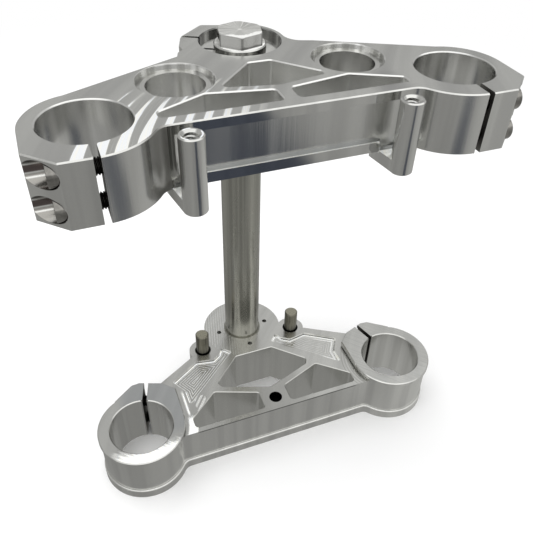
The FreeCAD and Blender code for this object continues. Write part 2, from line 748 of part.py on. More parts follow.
def make_bottom_yoke():
    """Lower yoke, machined from one block, with raised split rings."""
    neck = value("ring_height") - value("top_lip_height")
    inset = value("lip_inset")
    solids = [
        lower_layer("foot", "lower_front_y", 0, "axis_line", "bottom_lip_height", value("bottom_lip_height")),
        lower_layer("body", "lower_wall_y", inset, "bottom_lip_height", "body_height", neck),
        cylinder("lower_stem_boss", "lower_boss_radius", "plate_height"),
    ]
    for side, word in ((-1, "left"), (1, "right")):
        stop = "stop_x" if side > 0 else "-stop_x"
        solids.append(cylinder("stop_boss_" + word, "stop_boss_radius", "plate_height", stop, "stop_y"))
        solids.append(collar(word, side, "lip", 0, neck, value("ring_height")))
    block = union("lower_block", solids)
    doc.recompute()
    # cove above the foot, round the front wall and both rings as far as the lugs
    bases = []
    for number in wall_bases(block.Shape, value("bottom_lip_height")):
        if block.Shape.Edges[number - 1].CenterOfMass.y < -value("lug_back_y"):
            bases.append(number)
    coved = dressed("Fillet", "lower_coved", block, bases, "lip_cove_radius")

    tools = []
    middle = [
        ("-lower_mid_back_x", "-lower_mid_back_y"),
        ("-lower_mid_side_x", "-lower_mid_side_y"),
        ("-lower_mid_low_x", "-lower_mid_low_y"),
        ("axis_line", "-lower_mid_tip_y"),
        ("lower_mid_low_x", "-lower_mid_low_y"),
        ("lower_mid_side_x", "-lower_mid_side_y"),
        ("lower_mid_back_x", "-lower_mid_back_y"),
    ]
    side_pocket = [
        ("lower_side_in_x", "-lower_side_in_y"),
        ("lower_side_in_x", "-lower_side_front_y"),
        ("lower_side_out_x", "-lower_side_front_y"),
        ("lower_side_out_x", "-lower_side_out_y"),
        ("lower_side_peak_x", "-lower_side_peak_y"),
    ]
    for word, corners in (("middle", middle), ("right", side_pocket), ("left", mirrored(side_pocket))):
        name = "lower_pocket_" + word
        tools.append(rounded_prism(name, corners, "plate_height", "axis_line", "pocket_corner_radius"))
    pockets = list(tools)
    for word, fork in (("left", "-fork_x"), ("right", "fork_x")):
        tools.append(cylinder("lower_bore_" + word, "fork_tube_radius", "ring_height", fork, "fork_y"))
    opened = cut("lower_opened", coved, tools)
    doc.recompute()
    rims = level_edges(opened.Shape, value("ring_height"))
    crisp = dressed("Chamfer", "lower_crisp", opened, rims, "edge_chamfer")
    doc.recompute()
    middles = [edge.CenterOfMass for pocket in pockets for edge in pocket.Shape.Edges]
    rims = shared_edges(crisp.Shape, value("plate_height"), middles)
    eased = dressed("Chamfer", "lower_eased", crisp, rims, "pocket_chamfer")

    tools = []
    recess = []
    for name in ("heel", "neck", "waist", "bay", "shoulder", "end", "toe", "foot"):
        recess.append(("recess_%s_x" % name, "-recess_%s_y" % name))
    for word, corners in (("right", recess), ("left", mirrored(recess))):
        name = "arm_recess_" + word
        tools.append(rounded_prism(name, corners, "arm_recess_depth", "arm_recess_floor", "recess_corner_radius"))
    tools.append(cylinder("front_hole", "front_hole_radius", "plate_height", y="front_hole_y"))
    tools.append(cylinder("lower_stem_hole", "stem_hole_radius", "plate_height"))
    for quarter in range(4):
        angle = math.radians(QUARTER * quarter)
        spot = Vector(math.cos(angle), math.sin(angle), 0) * (value("seal_holes_circle") / 2)
        hole = cylinder("seal_hole_%d" % (quarter + 1), "seal_hole_radius", "seal_hole_depth", z="seal_hole_base")
        hole.setExpression("Placement.Base.x", None)
        hole.setExpression("Placement.Base.y", None)
        hole.Placement = Placement(spot, Rotation())
        tools.append(hole)
    for side, word in ((-1, "left"), (1, "right")):
        stop = "stop_x" if side > 0 else "-stop_x"
        well = cylinder("stop_well_" + word, "stop_well_radius", "stop_well_depth", stop, "stop_y", "stop_well_floor")
        hole = cylinder("stop_hole_" + word, "stop_hole_radius", "stop_pin_seat", stop, "stop_y", "stop_pin_base")
        tools += [well, hole]
        centre = Vector(side * value("fork_x"), value("fork_y"), 0)
        start = value("fork_tube_radius") / 2
        end = 2 * value("fork_tube_radius")
        direction = lower_slit_direction(side)
        width, height = value("lower_slit_width"), value("ring_height")
        tools.append(slit_box("lower_slit_" + word, width, start, end, 0, height, centre, direction))
    for name, seat, direction in lower_screw_places():
        mouth = value("lower_ring_radius")
        tools += screw_holes(name, "fork_screw", seat, direction, mouth, value("lower_screw_seat"))
    yoke = cut("bottom_yoke", eased, tools)
    yoke.Label = "bottom_yoke"
    return yoke


def make_stem():
    """Steering stem with the collar that meets the lower yoke and a threaded top."""
    shaft = cylinder("stem_shaft", "stem_radius", "stem_top")
    ring = cylinder("stem_collar", "stem_collar_radius", "stem_collar_height", z="plate_height")
    thread = cylinder("stem_thread", "stem_thread_radius", "stem_thread_depth", z="stem_thread_base")
    stem = cut("steering_stem", union("stem_blank", [shaft, ring]), [thread])
    stem.Label = "steering_stem"
    return stem


def make_stem_bolt():
    """Flanged hexagon bolt that closes the stem, with its corners turned off at the top."""
    flange = cylinder("bolt_flange", "bolt_flange_radius", "bolt_flange_height", z="recess_floor")
    hexagon = doc.addObject("Part::Prism", "bolt_hexagon")
    hexagon.Polygon = 6
    hexagon.Circumradius = value("bolt_hex_flats") / math.sqrt(3)
    tie(hexagon, Height="bolt_hex_height")
    base = value("recess_floor") + value("bolt_flange_height")
    hexagon.Placement = Placement(Vector(0, 0, base), Rotation(Vector(0, 0, 1), value("bolt_hex_turn")))
    crown = doc.addObject("Part::Cone", "bolt_crown")
    top = base + value("bolt_hex_height")
    radius = value("bolt_crown_radius")
    crown.Radius1 = 2 * radius
    crown.Radius2 = radius
    drop = radius * math.tan(math.radians(value("bolt_crown_angle")))
    crown.Height = drop
    crown.Placement = Placement(Vector(0, 0, top - drop), Rotation())
    head = doc.addObject("Part::Common", "bolt_head")
    head.Base = hexagon
    head.Tool = crown
    shank = cylinder("bolt_shank", "bolt_shank_radius", "bolt_shank_length")
    shank.setExpression("Placement.Base.z", "sizes.recess_floor - sizes.bolt_shank_length")
    doc.recompute()
    rim = level_edges(flange.Shape, base)
    eased = dressed("Chamfer", "bolt_flange_eased", flange, rim, "edge_chamfer")
    bolt = union("stem_bolt", [eased, head, shank])
    bolt.Label = "stem_bolt"
    return bolt


def make_stop_pins():
    """Two hardened pins that limit the steering angle."""
    pins = []
    for term, word in (("-stop_x", "left"), ("stop_x", "right")):
        blank = cylinder("stop_blank_" + word, "stop_pin_radius", "stop_pin_height", term, "stop_y", "stop_pin_base")
        blank.setExpression("Height", "sizes.stop_pin_seat + sizes.stop_pin_height")
        doc.recompute()
        rim = level_edges(blank.Shape, value("plate_height") + value("stop_pin_height"))
        pin = dressed("Chamfer", "stop_pin_" + word, blank, rim, "edge_chamfer")
        pin.Label = "stop_pin_" + word
        pins.append(pin)
    return pins


fill_sheet()
nodes = [make_top_yoke(), make_bottom_yoke(), make_stem(), make_stem_bolt()]
nodes += make_stop_pins()
for name, seat, direction in upper_screw_places() + lower_screw_places():
    nodes.append(socket_screw(name, "fork_screw", seat, direction))
seat, direction = ear_screw_place()
nodes.append(socket_screw("stem_clamp_screw", "ear_screw", seat, direction))
doc.recompute()

# Every object has to be sound before a file is written
for item in doc.Objects:
    if "Invalid" in item.State or "Error" in item.State:
        raise RuntimeError("failed object: " + item.Label)
for node in nodes:
    if node.Shape.isNull() or not node.Shape.isValid() or len(node.Shape.Solids) != 1:
        raise RuntimeError("bad shape: " + node.Label)

os.makedirs("parts", exist_ok=True)
for node in nodes:
    node.Shape.exportStep("parts/%s.step" % node.Label)
    extent = node.Shape.BoundBox
    print(node.Label, round(node.Shape.Volume), round(extent.ZMin, 1), round(extent.ZMax, 1))
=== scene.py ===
import math

import bpy
from mathutils import Matrix, Vector


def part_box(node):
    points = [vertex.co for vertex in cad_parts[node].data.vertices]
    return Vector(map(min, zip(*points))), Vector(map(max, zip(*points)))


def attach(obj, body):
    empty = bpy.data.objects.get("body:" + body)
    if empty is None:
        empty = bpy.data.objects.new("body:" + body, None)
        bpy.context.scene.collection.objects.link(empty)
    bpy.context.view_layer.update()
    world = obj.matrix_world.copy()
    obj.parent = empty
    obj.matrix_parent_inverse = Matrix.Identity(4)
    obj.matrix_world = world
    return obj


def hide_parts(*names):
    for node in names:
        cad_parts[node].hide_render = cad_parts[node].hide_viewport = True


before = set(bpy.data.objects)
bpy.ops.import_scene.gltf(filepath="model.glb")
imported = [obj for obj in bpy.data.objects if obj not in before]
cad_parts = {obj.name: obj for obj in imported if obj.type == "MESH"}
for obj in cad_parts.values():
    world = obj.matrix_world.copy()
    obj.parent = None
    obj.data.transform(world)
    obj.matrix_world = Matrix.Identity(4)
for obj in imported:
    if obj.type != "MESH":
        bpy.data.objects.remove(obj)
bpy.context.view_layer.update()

bl_info = {
    "name": "Machined triple clamp",
    "version": (1, 0, 0),
    "blender": (4, 5, 0),
    "location": "3D View > Sidebar > Triple clamp",
    "description": "Finishes, threads and stage for a machined motorcycle triple clamp",
    "category": "Object",
}

MM = 0.001
SIDES = (-1, 1)
CAMERA_TURN = (-0.392956, 0.714019, 0.035866)
CAMERA_PLACE = (-0.10841, -0.319221, 0.382832)
CAMERA_SHIFT = (-0.01075, 0.01128)
UPPER_TOP = 257.5 * MM
PLATE_TOP = 34.6 * MM
FORK = Vector((92.5, -67.3, 0.0)) * MM
RISER = Vector((46.0, -38.8, 0.0)) * MM
POST = Vector((53.1, -92.9, 0.0)) * MM
FRONT_HOLE_Y = -72.0 * MM
LOWER_SLIT_TURN = math.radians(17.0)
EAR_SLIT_TURN = math.radians(154.5)
# the cutter arcs have their centres on the line this far in front of the stem
CUTTER_LINE = 137.0 * MM

# screw sizes, and seats along and beside the slits, in millimetres
FORK_SCREW = {
    "head_radius": 5.9, "head_height": 7.5, "flats": 6.0, "deep": 3.8, "shank_radius": 3.9, "length": 21.0,
}
EAR_SCREW = {
    "head_radius": 4.8, "head_height": 6.0, "flats": 5.0, "deep": 3.0, "shank_radius": 2.9, "length": 16.0,
}
UPPER_SEAT_X, UPPER_SEAT_Y = 105.1, -93.0
UPPER_SCREW_HEIGHTS = (249.8, 233.2)
LOWER_SCREW_HEIGHTS = (29.0, 10.0)
LOWER_SEAT_ALONG, LOWER_SEAT_BESIDE = 28.4, 5.6
EAR_SEAT_ALONG, EAR_SEAT_BESIDE, EAR_SEAT_HEIGHT = 23.0, 6.0, 241.5
POST_THREAD_ROOT, POST_THREAD_CREST, POST_THREAD_SUNK = 3.6, 2.85, 1.3
BEVEL_ANGLE = math.radians(40.0)
SMOOTH_ANGLE = math.radians(32.0)

# outline of the right arm recess in millimetres
RECESS = (
    (15.6, -21.8), (21.8, -15.4), (24.5, -20.5), (30.4, -24.4),
    (43.0, -22.2), (64.0, -35.4), (57.8, -45.6), (57.6, -59.0),
)
# painted shade, highlights and reflections in bands round the counterbores: lowest and highest place against the
# screw's axis, softness, amount and colour
COUNTERBORE_LIGHT_BANDS = (
    (3.1, 7.0, 0.4, 0.80, (0.17, 0.165, 0.16)),
    (2.2, 2.9, 0.3, 0.90, (0.95, 0.95, 0.94)),
    (-1.3, 2.0, 0.3, 0.90, (0.12, 0.085, 0.08)),
    (-7.0, -1.9, 0.4, 0.80, (0.30, 0.285, 0.26)),
    (-3.6, -3.0, 0.3, 0.85, (0.95, 0.95, 0.93)),
)

# tones that the marks are mixed with
HOLLOW_LIGHT = (0.95, 0.95, 0.94)
BORE_SHADE = (0.42, 0.42, 0.40)
WALL_SHADE = (0.36, 0.36, 0.35)
NOOK_SHADE = (0.32, 0.315, 0.30)
SWEEP_SHADE = (0.52, 0.525, 0.52)
TOP_SHADE = (0.50, 0.50, 0.50)
SEAT_SHADE = (0.36, 0.36, 0.34)
LEDGE_SHADE = (0.25, 0.26, 0.265)
WELL_SHADE = (0.15, 0.15, 0.145)
POCKET_SHADE = (0.56, 0.56, 0.53)
COOL_SHADE = (0.56, 0.585, 0.61)
PASS_SHADE = (0.55, 0.56, 0.56)
RIB_SHADE = (0.50, 0.50, 0.48)
GROOVE_SHADE = (0.45, 0.45, 0.43)
# dark line under the front wall's top edge, and painted shade in the wells of the stop pins
DARK_LINE_AND_PIN_WELL_SHADE = (0.10, 0.10, 0.095)
HOLE_SHADE = (0.04, 0.045, 0.045)
STEM_SHADE = (0.20, 0.198, 0.175)
CORNER_SHADE = (0.30, 0.30, 0.29)
FACE_SHADE = (0.50, 0.50, 0.49)
RAY_LIGHT = (0.98, 0.98, 0.96)
# painted shade at the foot of the stop pins
PIN_FOOT_SHADE = (0.03, 0.03, 0.028)


def material(name):
    """New node material with an empty tree and its output and main shader."""
    mat = bpy.data.materials.new(name)
    mat.use_nodes = True
    tree = mat.node_tree
    tree.nodes.clear()
    out = tree.nodes.new("ShaderNodeOutputMaterial")
    shader = tree.nodes.new("ShaderNodeBsdfPrincipled")
    tree.links.new(shader.outputs["BSDF"], out.inputs["Surface"])
    return mat, tree, shader


def metal(name):
    """New node material of bare metal."""
    mat, tree, shader = material(name)
    shader.inputs["Metallic"].default_value = 1.0
    return mat, tree, shader


def surface(tree):
    """Socket that the material's surface goes into."""
    return next(item for item in tree.nodes if item.type == "OUTPUT_MATERIAL").inputs["Surface"]


def scaled(tone, share):
    """Colour made lighter or darker by a share."""
    return tuple(min(1.0, part * share) for part in tone)


class Wiring:
    """Short hand for the nodes of one material."""

    def __init__(self, tree):
        self.tree = tree
        self.object = self.node("ShaderNodeTexCoord").outputs["Object"]
        split = self.node("ShaderNodeSeparateXYZ")
        self.link(self.object, split.inputs[0])
        self.x, self.y, self.z = split.outputs
        geometry = self.node("ShaderNodeNewGeometry")
        self.normal = geometry.outputs["Normal"]
        facing = self.node("ShaderNodeSeparateXYZ")
        self.link(geometry.outputs["True Normal"], facing.inputs[0])
        self.normal_x, self.normal_y, self.normal_z = facing.outputs

    def node(self, kind, **settings):
        item = self.tree.nodes.new(kind)
        for name, setting in settings.items():
            setattr(item, name, setting)
        return item

    def link(self, source, target):
        if isinstance(source, (int, float)):
            target.default_value = source
        else:
            self.tree.links.new(source, target)

    def math(self, operation, first, second=0.0, third=None, clamp=False):
        item = self.node("ShaderNodeMath", operation=operation, use_clamp=clamp)
        self.link(first, item.inputs[0])
        self.link(second, item.inputs[1])
        if third is not None:
            self.link(third, item.inputs[2])
        return item.outputs[0]

    def chain(self, operation, items):
        """One operation over all items, from the first to the last."""
        result = items[0]
        for item in items[1:]:
            result = self.math(operation, result, item)
        return result

    def times(self, *items):
        return self.chain("MULTIPLY", items)

    def highest(self, *items):
        return self.chain("MAXIMUM", items)

    def lowest(self, *items):
        return self.chain("MINIMUM", items)

    def plus(self, first, second):
        return self.math("ADD", first, second)

    def minus(self, first, second):
        return self.math("SUBTRACT", first, second)

    def size(self, source):
        """Number without its sign."""
        return self.math("ABSOLUTE", source)

    def hypotenuse(self, along, across):
        """Length of a line from its two parts."""
        return self.math("SQRT", self.plus(self.times(along, along), self.times(across, across)))

    def wave(self, source, pitch, kind="COSINE"):
        """Wave between minus one and one with one crest in each pitch."""
        return self.math(kind, self.times(source, 2.0 * math.pi / pitch))

    def aslant(self, share_x, share_y):
        """Shares of X and Y added up, for rows that run at an angle."""
        return self.plus(self.times(self.x, share_x), self.times(self.y, share_y))

    def ramp(self, source, low, high, start=0.0, end=1.0):
        """Smooth step from start to end while source goes from low to high."""
        item = self.node("ShaderNodeMapRange", interpolation_type="SMOOTHSTEP")
        self.link(source, item.inputs["Value"])
        item.inputs["From Min"].default_value = low
        item.inputs["From Max"].default_value = high
        item.inputs["To Min"].default_value = start
        item.inputs["To Max"].default_value = end
        return item.outputs["Result"]

    def window(self, source, low, high, soft):
        """One between low and high, with soft ends."""
        return self.times(self.ramp(source, low - soft, low + soft), self.ramp(source, high + soft, high - soft))

    def edge(self, source, low, high, start=0.0, end=1.0):
        """Ramp with its places in millimetres."""
        return self.ramp(source, low * MM, high * MM, start, end)

    def between(self, source, low, high, soft):
        """Window with its places in millimetres."""
        return self.window(source, low * MM, high * MM, soft * MM)

    def vector(self, x, y, z):
        item = self.node("ShaderNodeCombineXYZ")
        for source, target in zip((x, y, z), item.inputs):
            self.link(source, target)
        return item.outputs[0]

    def distance(self, x, y):
        """Distance in plan from an upright line."""
        return self.hypotenuse(self.minus(self.x, x), self.minus(self.y, y))

    def facing(self, x, y, rise):
        """Direction in plan from an upright line, with some of the height, for patterns round that line."""
        far = self.highest(self.distance(x, y), 0.1 * MM)
        along = self.math("DIVIDE", self.minus(self.x, x), far)
        across = self.math("DIVIDE", self.minus(self.y, y), far)
        return self.vector(along, across, self.times(self.z, rise))

    def noise(self, vector, scale, detail, roughness=0.5):
        item = self.node("ShaderNodeTexNoise", noise_dimensions="3D")
        self.link(vector, item.inputs["Vector"])
        item.inputs["Scale"].default_value = scale
        item.inputs["Detail"].default_value = detail
        item.inputs["Roughness"].default_value = roughness
        return item.outputs["Fac"]

    def bands_round(self, x, y):
        """Darker and lighter stretches of a bored wall round an upright line."""
        return self.ramp(self.noise(self.facing(x, y, 0.0), 3.2, 2.0), 0.38, 0.60)

    def blend(self, factor, first, second):
        """Colour that goes from first to second with the factor."""
        item = self.node("ShaderNodeMix", data_type="RGBA")
        self.link(factor, item.inputs[0])
        for source, target in ((first, item.inputs[6]), (second, item.inputs[7])):
            if isinstance(source, tuple):
                target.default_value = (*source, 1.0)
            else:
                self.tree.links.new(source, target)
        return item.outputs[2]

    def fade(self, factor, first, second):
        """Number that goes from first to second with the factor."""
        item = self.node("ShaderNodeMix", data_type="FLOAT")
        self.link(factor, item.inputs[0])
        self.link(first, item.inputs[2])
        self.link(second, item.inputs[3])
        return item.outputs[0]

    def glow(self, colour):
        """Emission of a colour."""
        item = self.node("ShaderNodeEmission")
        if isinstance(colour, tuple):
            item.inputs["Color"].default_value = (*colour, 1.0)
        else:
            self.link(colour, item.inputs["Color"])
        return item.outputs[0]

    def pick(self, factor, first, second):
        """Shader that goes from first to second with the factor."""
        item = self.node("ShaderNodeMixShader")
        for source, target in zip((factor, first, second), item.inputs):
            self.link(source, target)
        return item.outputs[0]

    def leaned(self, amount_y, amount_z):
        """Surface normal leaned by small amounts along Y and Z."""
        push = self.node("ShaderNodeVectorMath", operation="ADD")
        self.link(self.normal, push.inputs[0])
        self.link(self.vector(0.0, amount_y, amount_z), push.inputs[1])
        even = self.node("ShaderNodeVectorMath", operation="NORMALIZE")
        self.link(push.outputs[0], even.inputs[0])
        return even.outputs[0]

    def bumped(self, shader, height, strength, normal=None):
        bump = self.node("ShaderNodeBump")
        bump.inputs["Strength"].default_value = strength
        bump.inputs["Distance"].default_value = 0.2 * MM
        self.link(height, bump.inputs["Height"])
        if normal is not None:
            self.link(normal, bump.inputs["Normal"])
        self.link(bump.outputs["Normal"], shader.inputs["Normal"])


class ClampFinishSettings(bpy.types.PropertyGroup):
    """Colours and marks of the machined metal."""

    aluminium: bpy.props.FloatVectorProperty(
        name="Aluminium", description="Colour of the bare milled aluminium",
        size=3, subtype="COLOR", default=(0.81, 0.81, 0.79))
    aluminium_dull: bpy.props.FloatVectorProperty(
        name="Dull aluminium", description="Colour of the duller streaks between the cutter passes",
        size=3, subtype="COLOR", default=(0.70, 0.70, 0.685))
    # painted shade: the walls inside the narrow slits are painted dark
    slit_wall_shade: bpy.props.FloatVectorProperty(
        name="Sawn aluminium", description="Colour of the sawn walls in the slits",
        size=3, subtype="COLOR", default=(0.16, 0.155, 0.14))
    # glint colours of the painted highlights on the cutter arcs, lips and lit edges
    glint_warm: bpy.props.FloatVectorProperty(
        name="Warm glint", description="Warm colour in the bright cutter arcs",
        size=3, subtype="COLOR", default=(0.97, 0.965, 0.92))
    glint_cool: bpy.props.FloatVectorProperty(
        name="Cool glint", description="Cool colour in the bright cutter arcs",
        size=3, subtype="COLOR", default=(0.93, 0.95, 0.97))
    arc_pitch: bpy.props.FloatProperty(
        name="Arc pitch", description="Distance between two bright cutter arcs",
        default=8.5 * MM, unit="LENGTH")
    arc_radius: bpy.props.FloatProperty(
        name="Arc radius", description="Radius of the cutter arcs",
        default=130.0 * MM, unit="LENGTH")
    pass_pitch: bpy.props.FloatProperty(
        name="Pass pitch", description="Distance between two cutter passes in the recesses",
        default=1.6 * MM, unit="LENGTH")
    stem_steel: bpy.props.FloatVectorProperty(
        name="Stem steel", description="Colour of the turned stem",
        size=3, subtype="COLOR", default=(0.53, 0.525, 0.475))
    bolt_steel: bpy.props.FloatVectorProperty(
        name="Bolt steel", description="Colour of the polished stem bolt",
        size=3, subtype="COLOR", default=(0.86, 0.86, 0.84))
    pin_steel: bpy.props.FloatVectorProperty(
        name="Pin steel", description="Colour of the stop pins",
        size=3, subtype="COLOR", default=(0.245, 0.235, 0.19))
    screw_steel: bpy.props.FloatVectorProperty(
        name="Screw steel", description="Colour of the screw heads",
        size=3, subtype="COLOR", default=(0.35, 0.34, 0.32))
    # the threads are painted near black, partly for their oil and partly as painted shade in the slits and holes
    thread_steel: bpy.props.FloatVectorProperty(
        name="Thread steel", description="Colour of the dark screw threads",
        size=3, subtype="COLOR", default=(0.045, 0.043, 0.04))


class ClampThreadSettings(bpy.types.PropertyGroup):
    """Sizes of the screws and threads."""

    fork_pitch: bpy.props.FloatProperty(
        name="Fork screw pitch", description="Thread pitch of the fork clamp screws",
        default=1.25 * MM, unit="LENGTH")
    ear_pitch: bpy.props.FloatProperty(
        name="Ear screw pitch", description="Thread pitch of the stem clamp screw",
        default=1.0 * MM, unit="LENGTH")
    post_pitch: bpy.props.FloatProperty(
        name="Post thread pitch", description="Thread pitch in the bracket posts",
        default=1.25 * MM, unit="LENGTH")
    post_turns: bpy.props.IntProperty(
        name="Post thread turns", description="Number of thread turns in each bracket post",
        default=16)


class ClampStageSettings(bpy.types.PropertyGroup):
    """Sizes and colours of the stage."""

    lens: bpy.props.FloatProperty(
        name="Lens", description="Focal length of the camera in millimetres",
        default=41.878)
    lamp_power: bpy.props.FloatProperty(
        name="Lamp power", description="Power of the soft lamp",
        default=6.0, subtype="POWER")
    floor_tone: bpy.props.FloatVectorProperty(
        name="Floor", description="Colour of the floor",
        size=3, subtype="COLOR", default=(0.94, 0.94, 0.94))
    table_tone: bpy.props.FloatVectorProperty(
        name="Table", description="Tone of the table in the metal's reflections",
        size=3, subtype="COLOR", default=(0.30, 0.30, 0.29))
    flag_tone: bpy.props.FloatVectorProperty(
        name="Flag", description="Tone of the dark flag in front",
        size=3, subtype="COLOR", default=(0.055, 0.062, 0.080))
    tent_tone: bpy.props.FloatVectorProperty(
        name="Tent", description="Tone of the tent behind and beside the object",
        size=3, subtype="COLOR", default=(0.46, 0.46, 0.45))


class Milling(Wiring):
    """Nodes of bare milled aluminium: cutter arcs on the level faces and upright passes on the walls."""

    def __init__(self, tree, settings):
        super().__init__(tree)
        self.settings = settings
        self.level = self.ramp(self.size(self.normal_z), 0.75, 0.95)
        self.upright = self.minus(1.0, self.level)
        # fine upright passes of the side cutter on the walls
        wall = self.vector(self.x, self.y, self.times(self.z, 0.012))
        broad_wall = self.noise(wall, 110.0, 2.0)
        # arcs that the face cutter leaves on the level faces
        drop = self.plus(self.y, CUTTER_LINE)
        self.bow = self.math("MULTIPLY_ADD", self.times(drop, drop), -3.8, self.x)
        arcs = self.vector(self.bow, self.times(self.y, 0.03), 0.0)
        broad_top = self.noise(arcs, 70.0, 3.0)

        self.fine = self.fade(self.level, self.noise(wall, 1500.0, 2.0), self.noise(arcs, 1300.0, 2.0))
        broad = self.fade(self.level, broad_wall, broad_top)
        dull, tone = tuple(settings.aluminium_dull), tuple(settings.aluminium)
        self.tint = self.blend(self.ramp(broad, 0.34, 0.62), dull, tone)
        glints = self.ramp(self.noise(arcs, 900.0, 2.0), 0.40, 0.60)
        self.glint = self.blend(glints, tuple(settings.glint_cool), tuple(settings.glint_warm))
        rough_wall = self.ramp(broad_wall, 0.3, 0.7, 0.17, 0.25)
        self.rough = self.fade(self.level, rough_wall, self.ramp(broad_top, 0.3, 0.7, 0.19, 0.27))
        self.lean_y, self.lean_z = 0.0, 0.0

        # distance from the middle plane, from the nearer fork and sideways from that fork
        self.side_x = self.size(self.x)
        self.far = self.lowest(*(self.distance(side * FORK.x, FORK.y) for side in SIDES))
        self.off = self.minus(self.x, self.times(self.math("SIGN", self.x), FORK.x))
        self.in_bore = self.edge(self.far, 20.9, 20.6)
        self.bore = self.times(self.upright, self.in_bore)

    def paint(self, colour, *masks):
        """Mixes the colour into the tint where all masks are one."""
        self.tint = self.blend(self.times(*masks), self.tint, colour)

    def shade_bores(self, amount):
        """Soft upright bands in the fork bores, and more shade on their right hand side."""
        bands = self.noise(self.vector(self.x, self.y, 0.0), 120.0, 3.0)
        self.paint(BORE_SHADE, self.bore, self.ramp(bands, 0.40, 0.62, 0.34, 0.0))
        front = self.ramp(self.y, FORK.y + 9.0 * MM, FORK.y + 2.0 * MM)
        self.paint(BORE_SHADE, self.bore, self.edge(self.off, 11.0, 19.0), front, amount)


def stripes_on_top(w):
    """Mask of the cutter arcs on the left part of the upper yoke's top, which get a painted highlight."""
    radius = w.settings.arc_radius
    drop = w.plus(w.y, CUTTER_LINE)
    reach = w.math("SQRT", w.highest(w.minus(radius * radius, w.times(drop, drop)), 0.0))
    shift = w.plus(w.x, reach)
    wave = w.wave(w.minus(shift, 24.1 * MM), w.settings.arc_pitch)
    # the arcs are wide at the front and run out to hair lines at the back
    rail = w.times(w.edge(w.x, -64.0, -60.0), w.edge(w.y, -73.0, -76.0))
    width = w.fade(rail, w.edge(w.y, -98.0, -50.0, -0.48, 0.74), 0.1)
    # fine streaks along each arc break up its edges
    streaks = w.noise(w.vector(shift, w.times(w.y, 0.02), 0.0), 900.0, 3.0, 0.65)
    wave = w.math("MULTIPLY_ADD", w.minus(streaks, 0.5), 0.85, wave)
    stripe = w.math("DIVIDE", w.minus(wave, w.minus(width, 0.22)), 0.55, clamp=True)
    # hair lines between the arcs
    hairs = w.noise(w.vector(shift, w.times(w.y, 0.03), 0.0), 1500.0, 2.0)
    hairs = w.times(w.ramp(hairs, 0.54, 0.72, 0.0, 0.6), w.minus(1.0, rail))
    span = w.times(w.edge(shift, 20.0, 21.0), w.edge(shift, 106.0, 92.0), w.edge(w.y, -43.0, -48.0))
    return w.times(w.highest(stripe, hairs), span, w.edge(w.x, -104.0, -103.0))


def paint_counterbore_light(w):
    """Painted shade, highlights and reflections in bands round the counterbores of the upper clamp screws."""
    for height in UPPER_SCREW_HEIGHTS:
        rise = w.minus(w.z, height * MM)
        away = w.hypotenuse(rise, w.minus(w.y, UPPER_SEAT_Y * MM))
        wall = w.times(w.edge(w.side_x, 105.0, 105.3), w.between(away, 5.9, 6.55, 0.05))
        for low, high, soft, amount, colour in COUNTERBORE_LIGHT_BANDS:
            w.paint(colour, wall, w.between(rise, low, high, soft), amount)


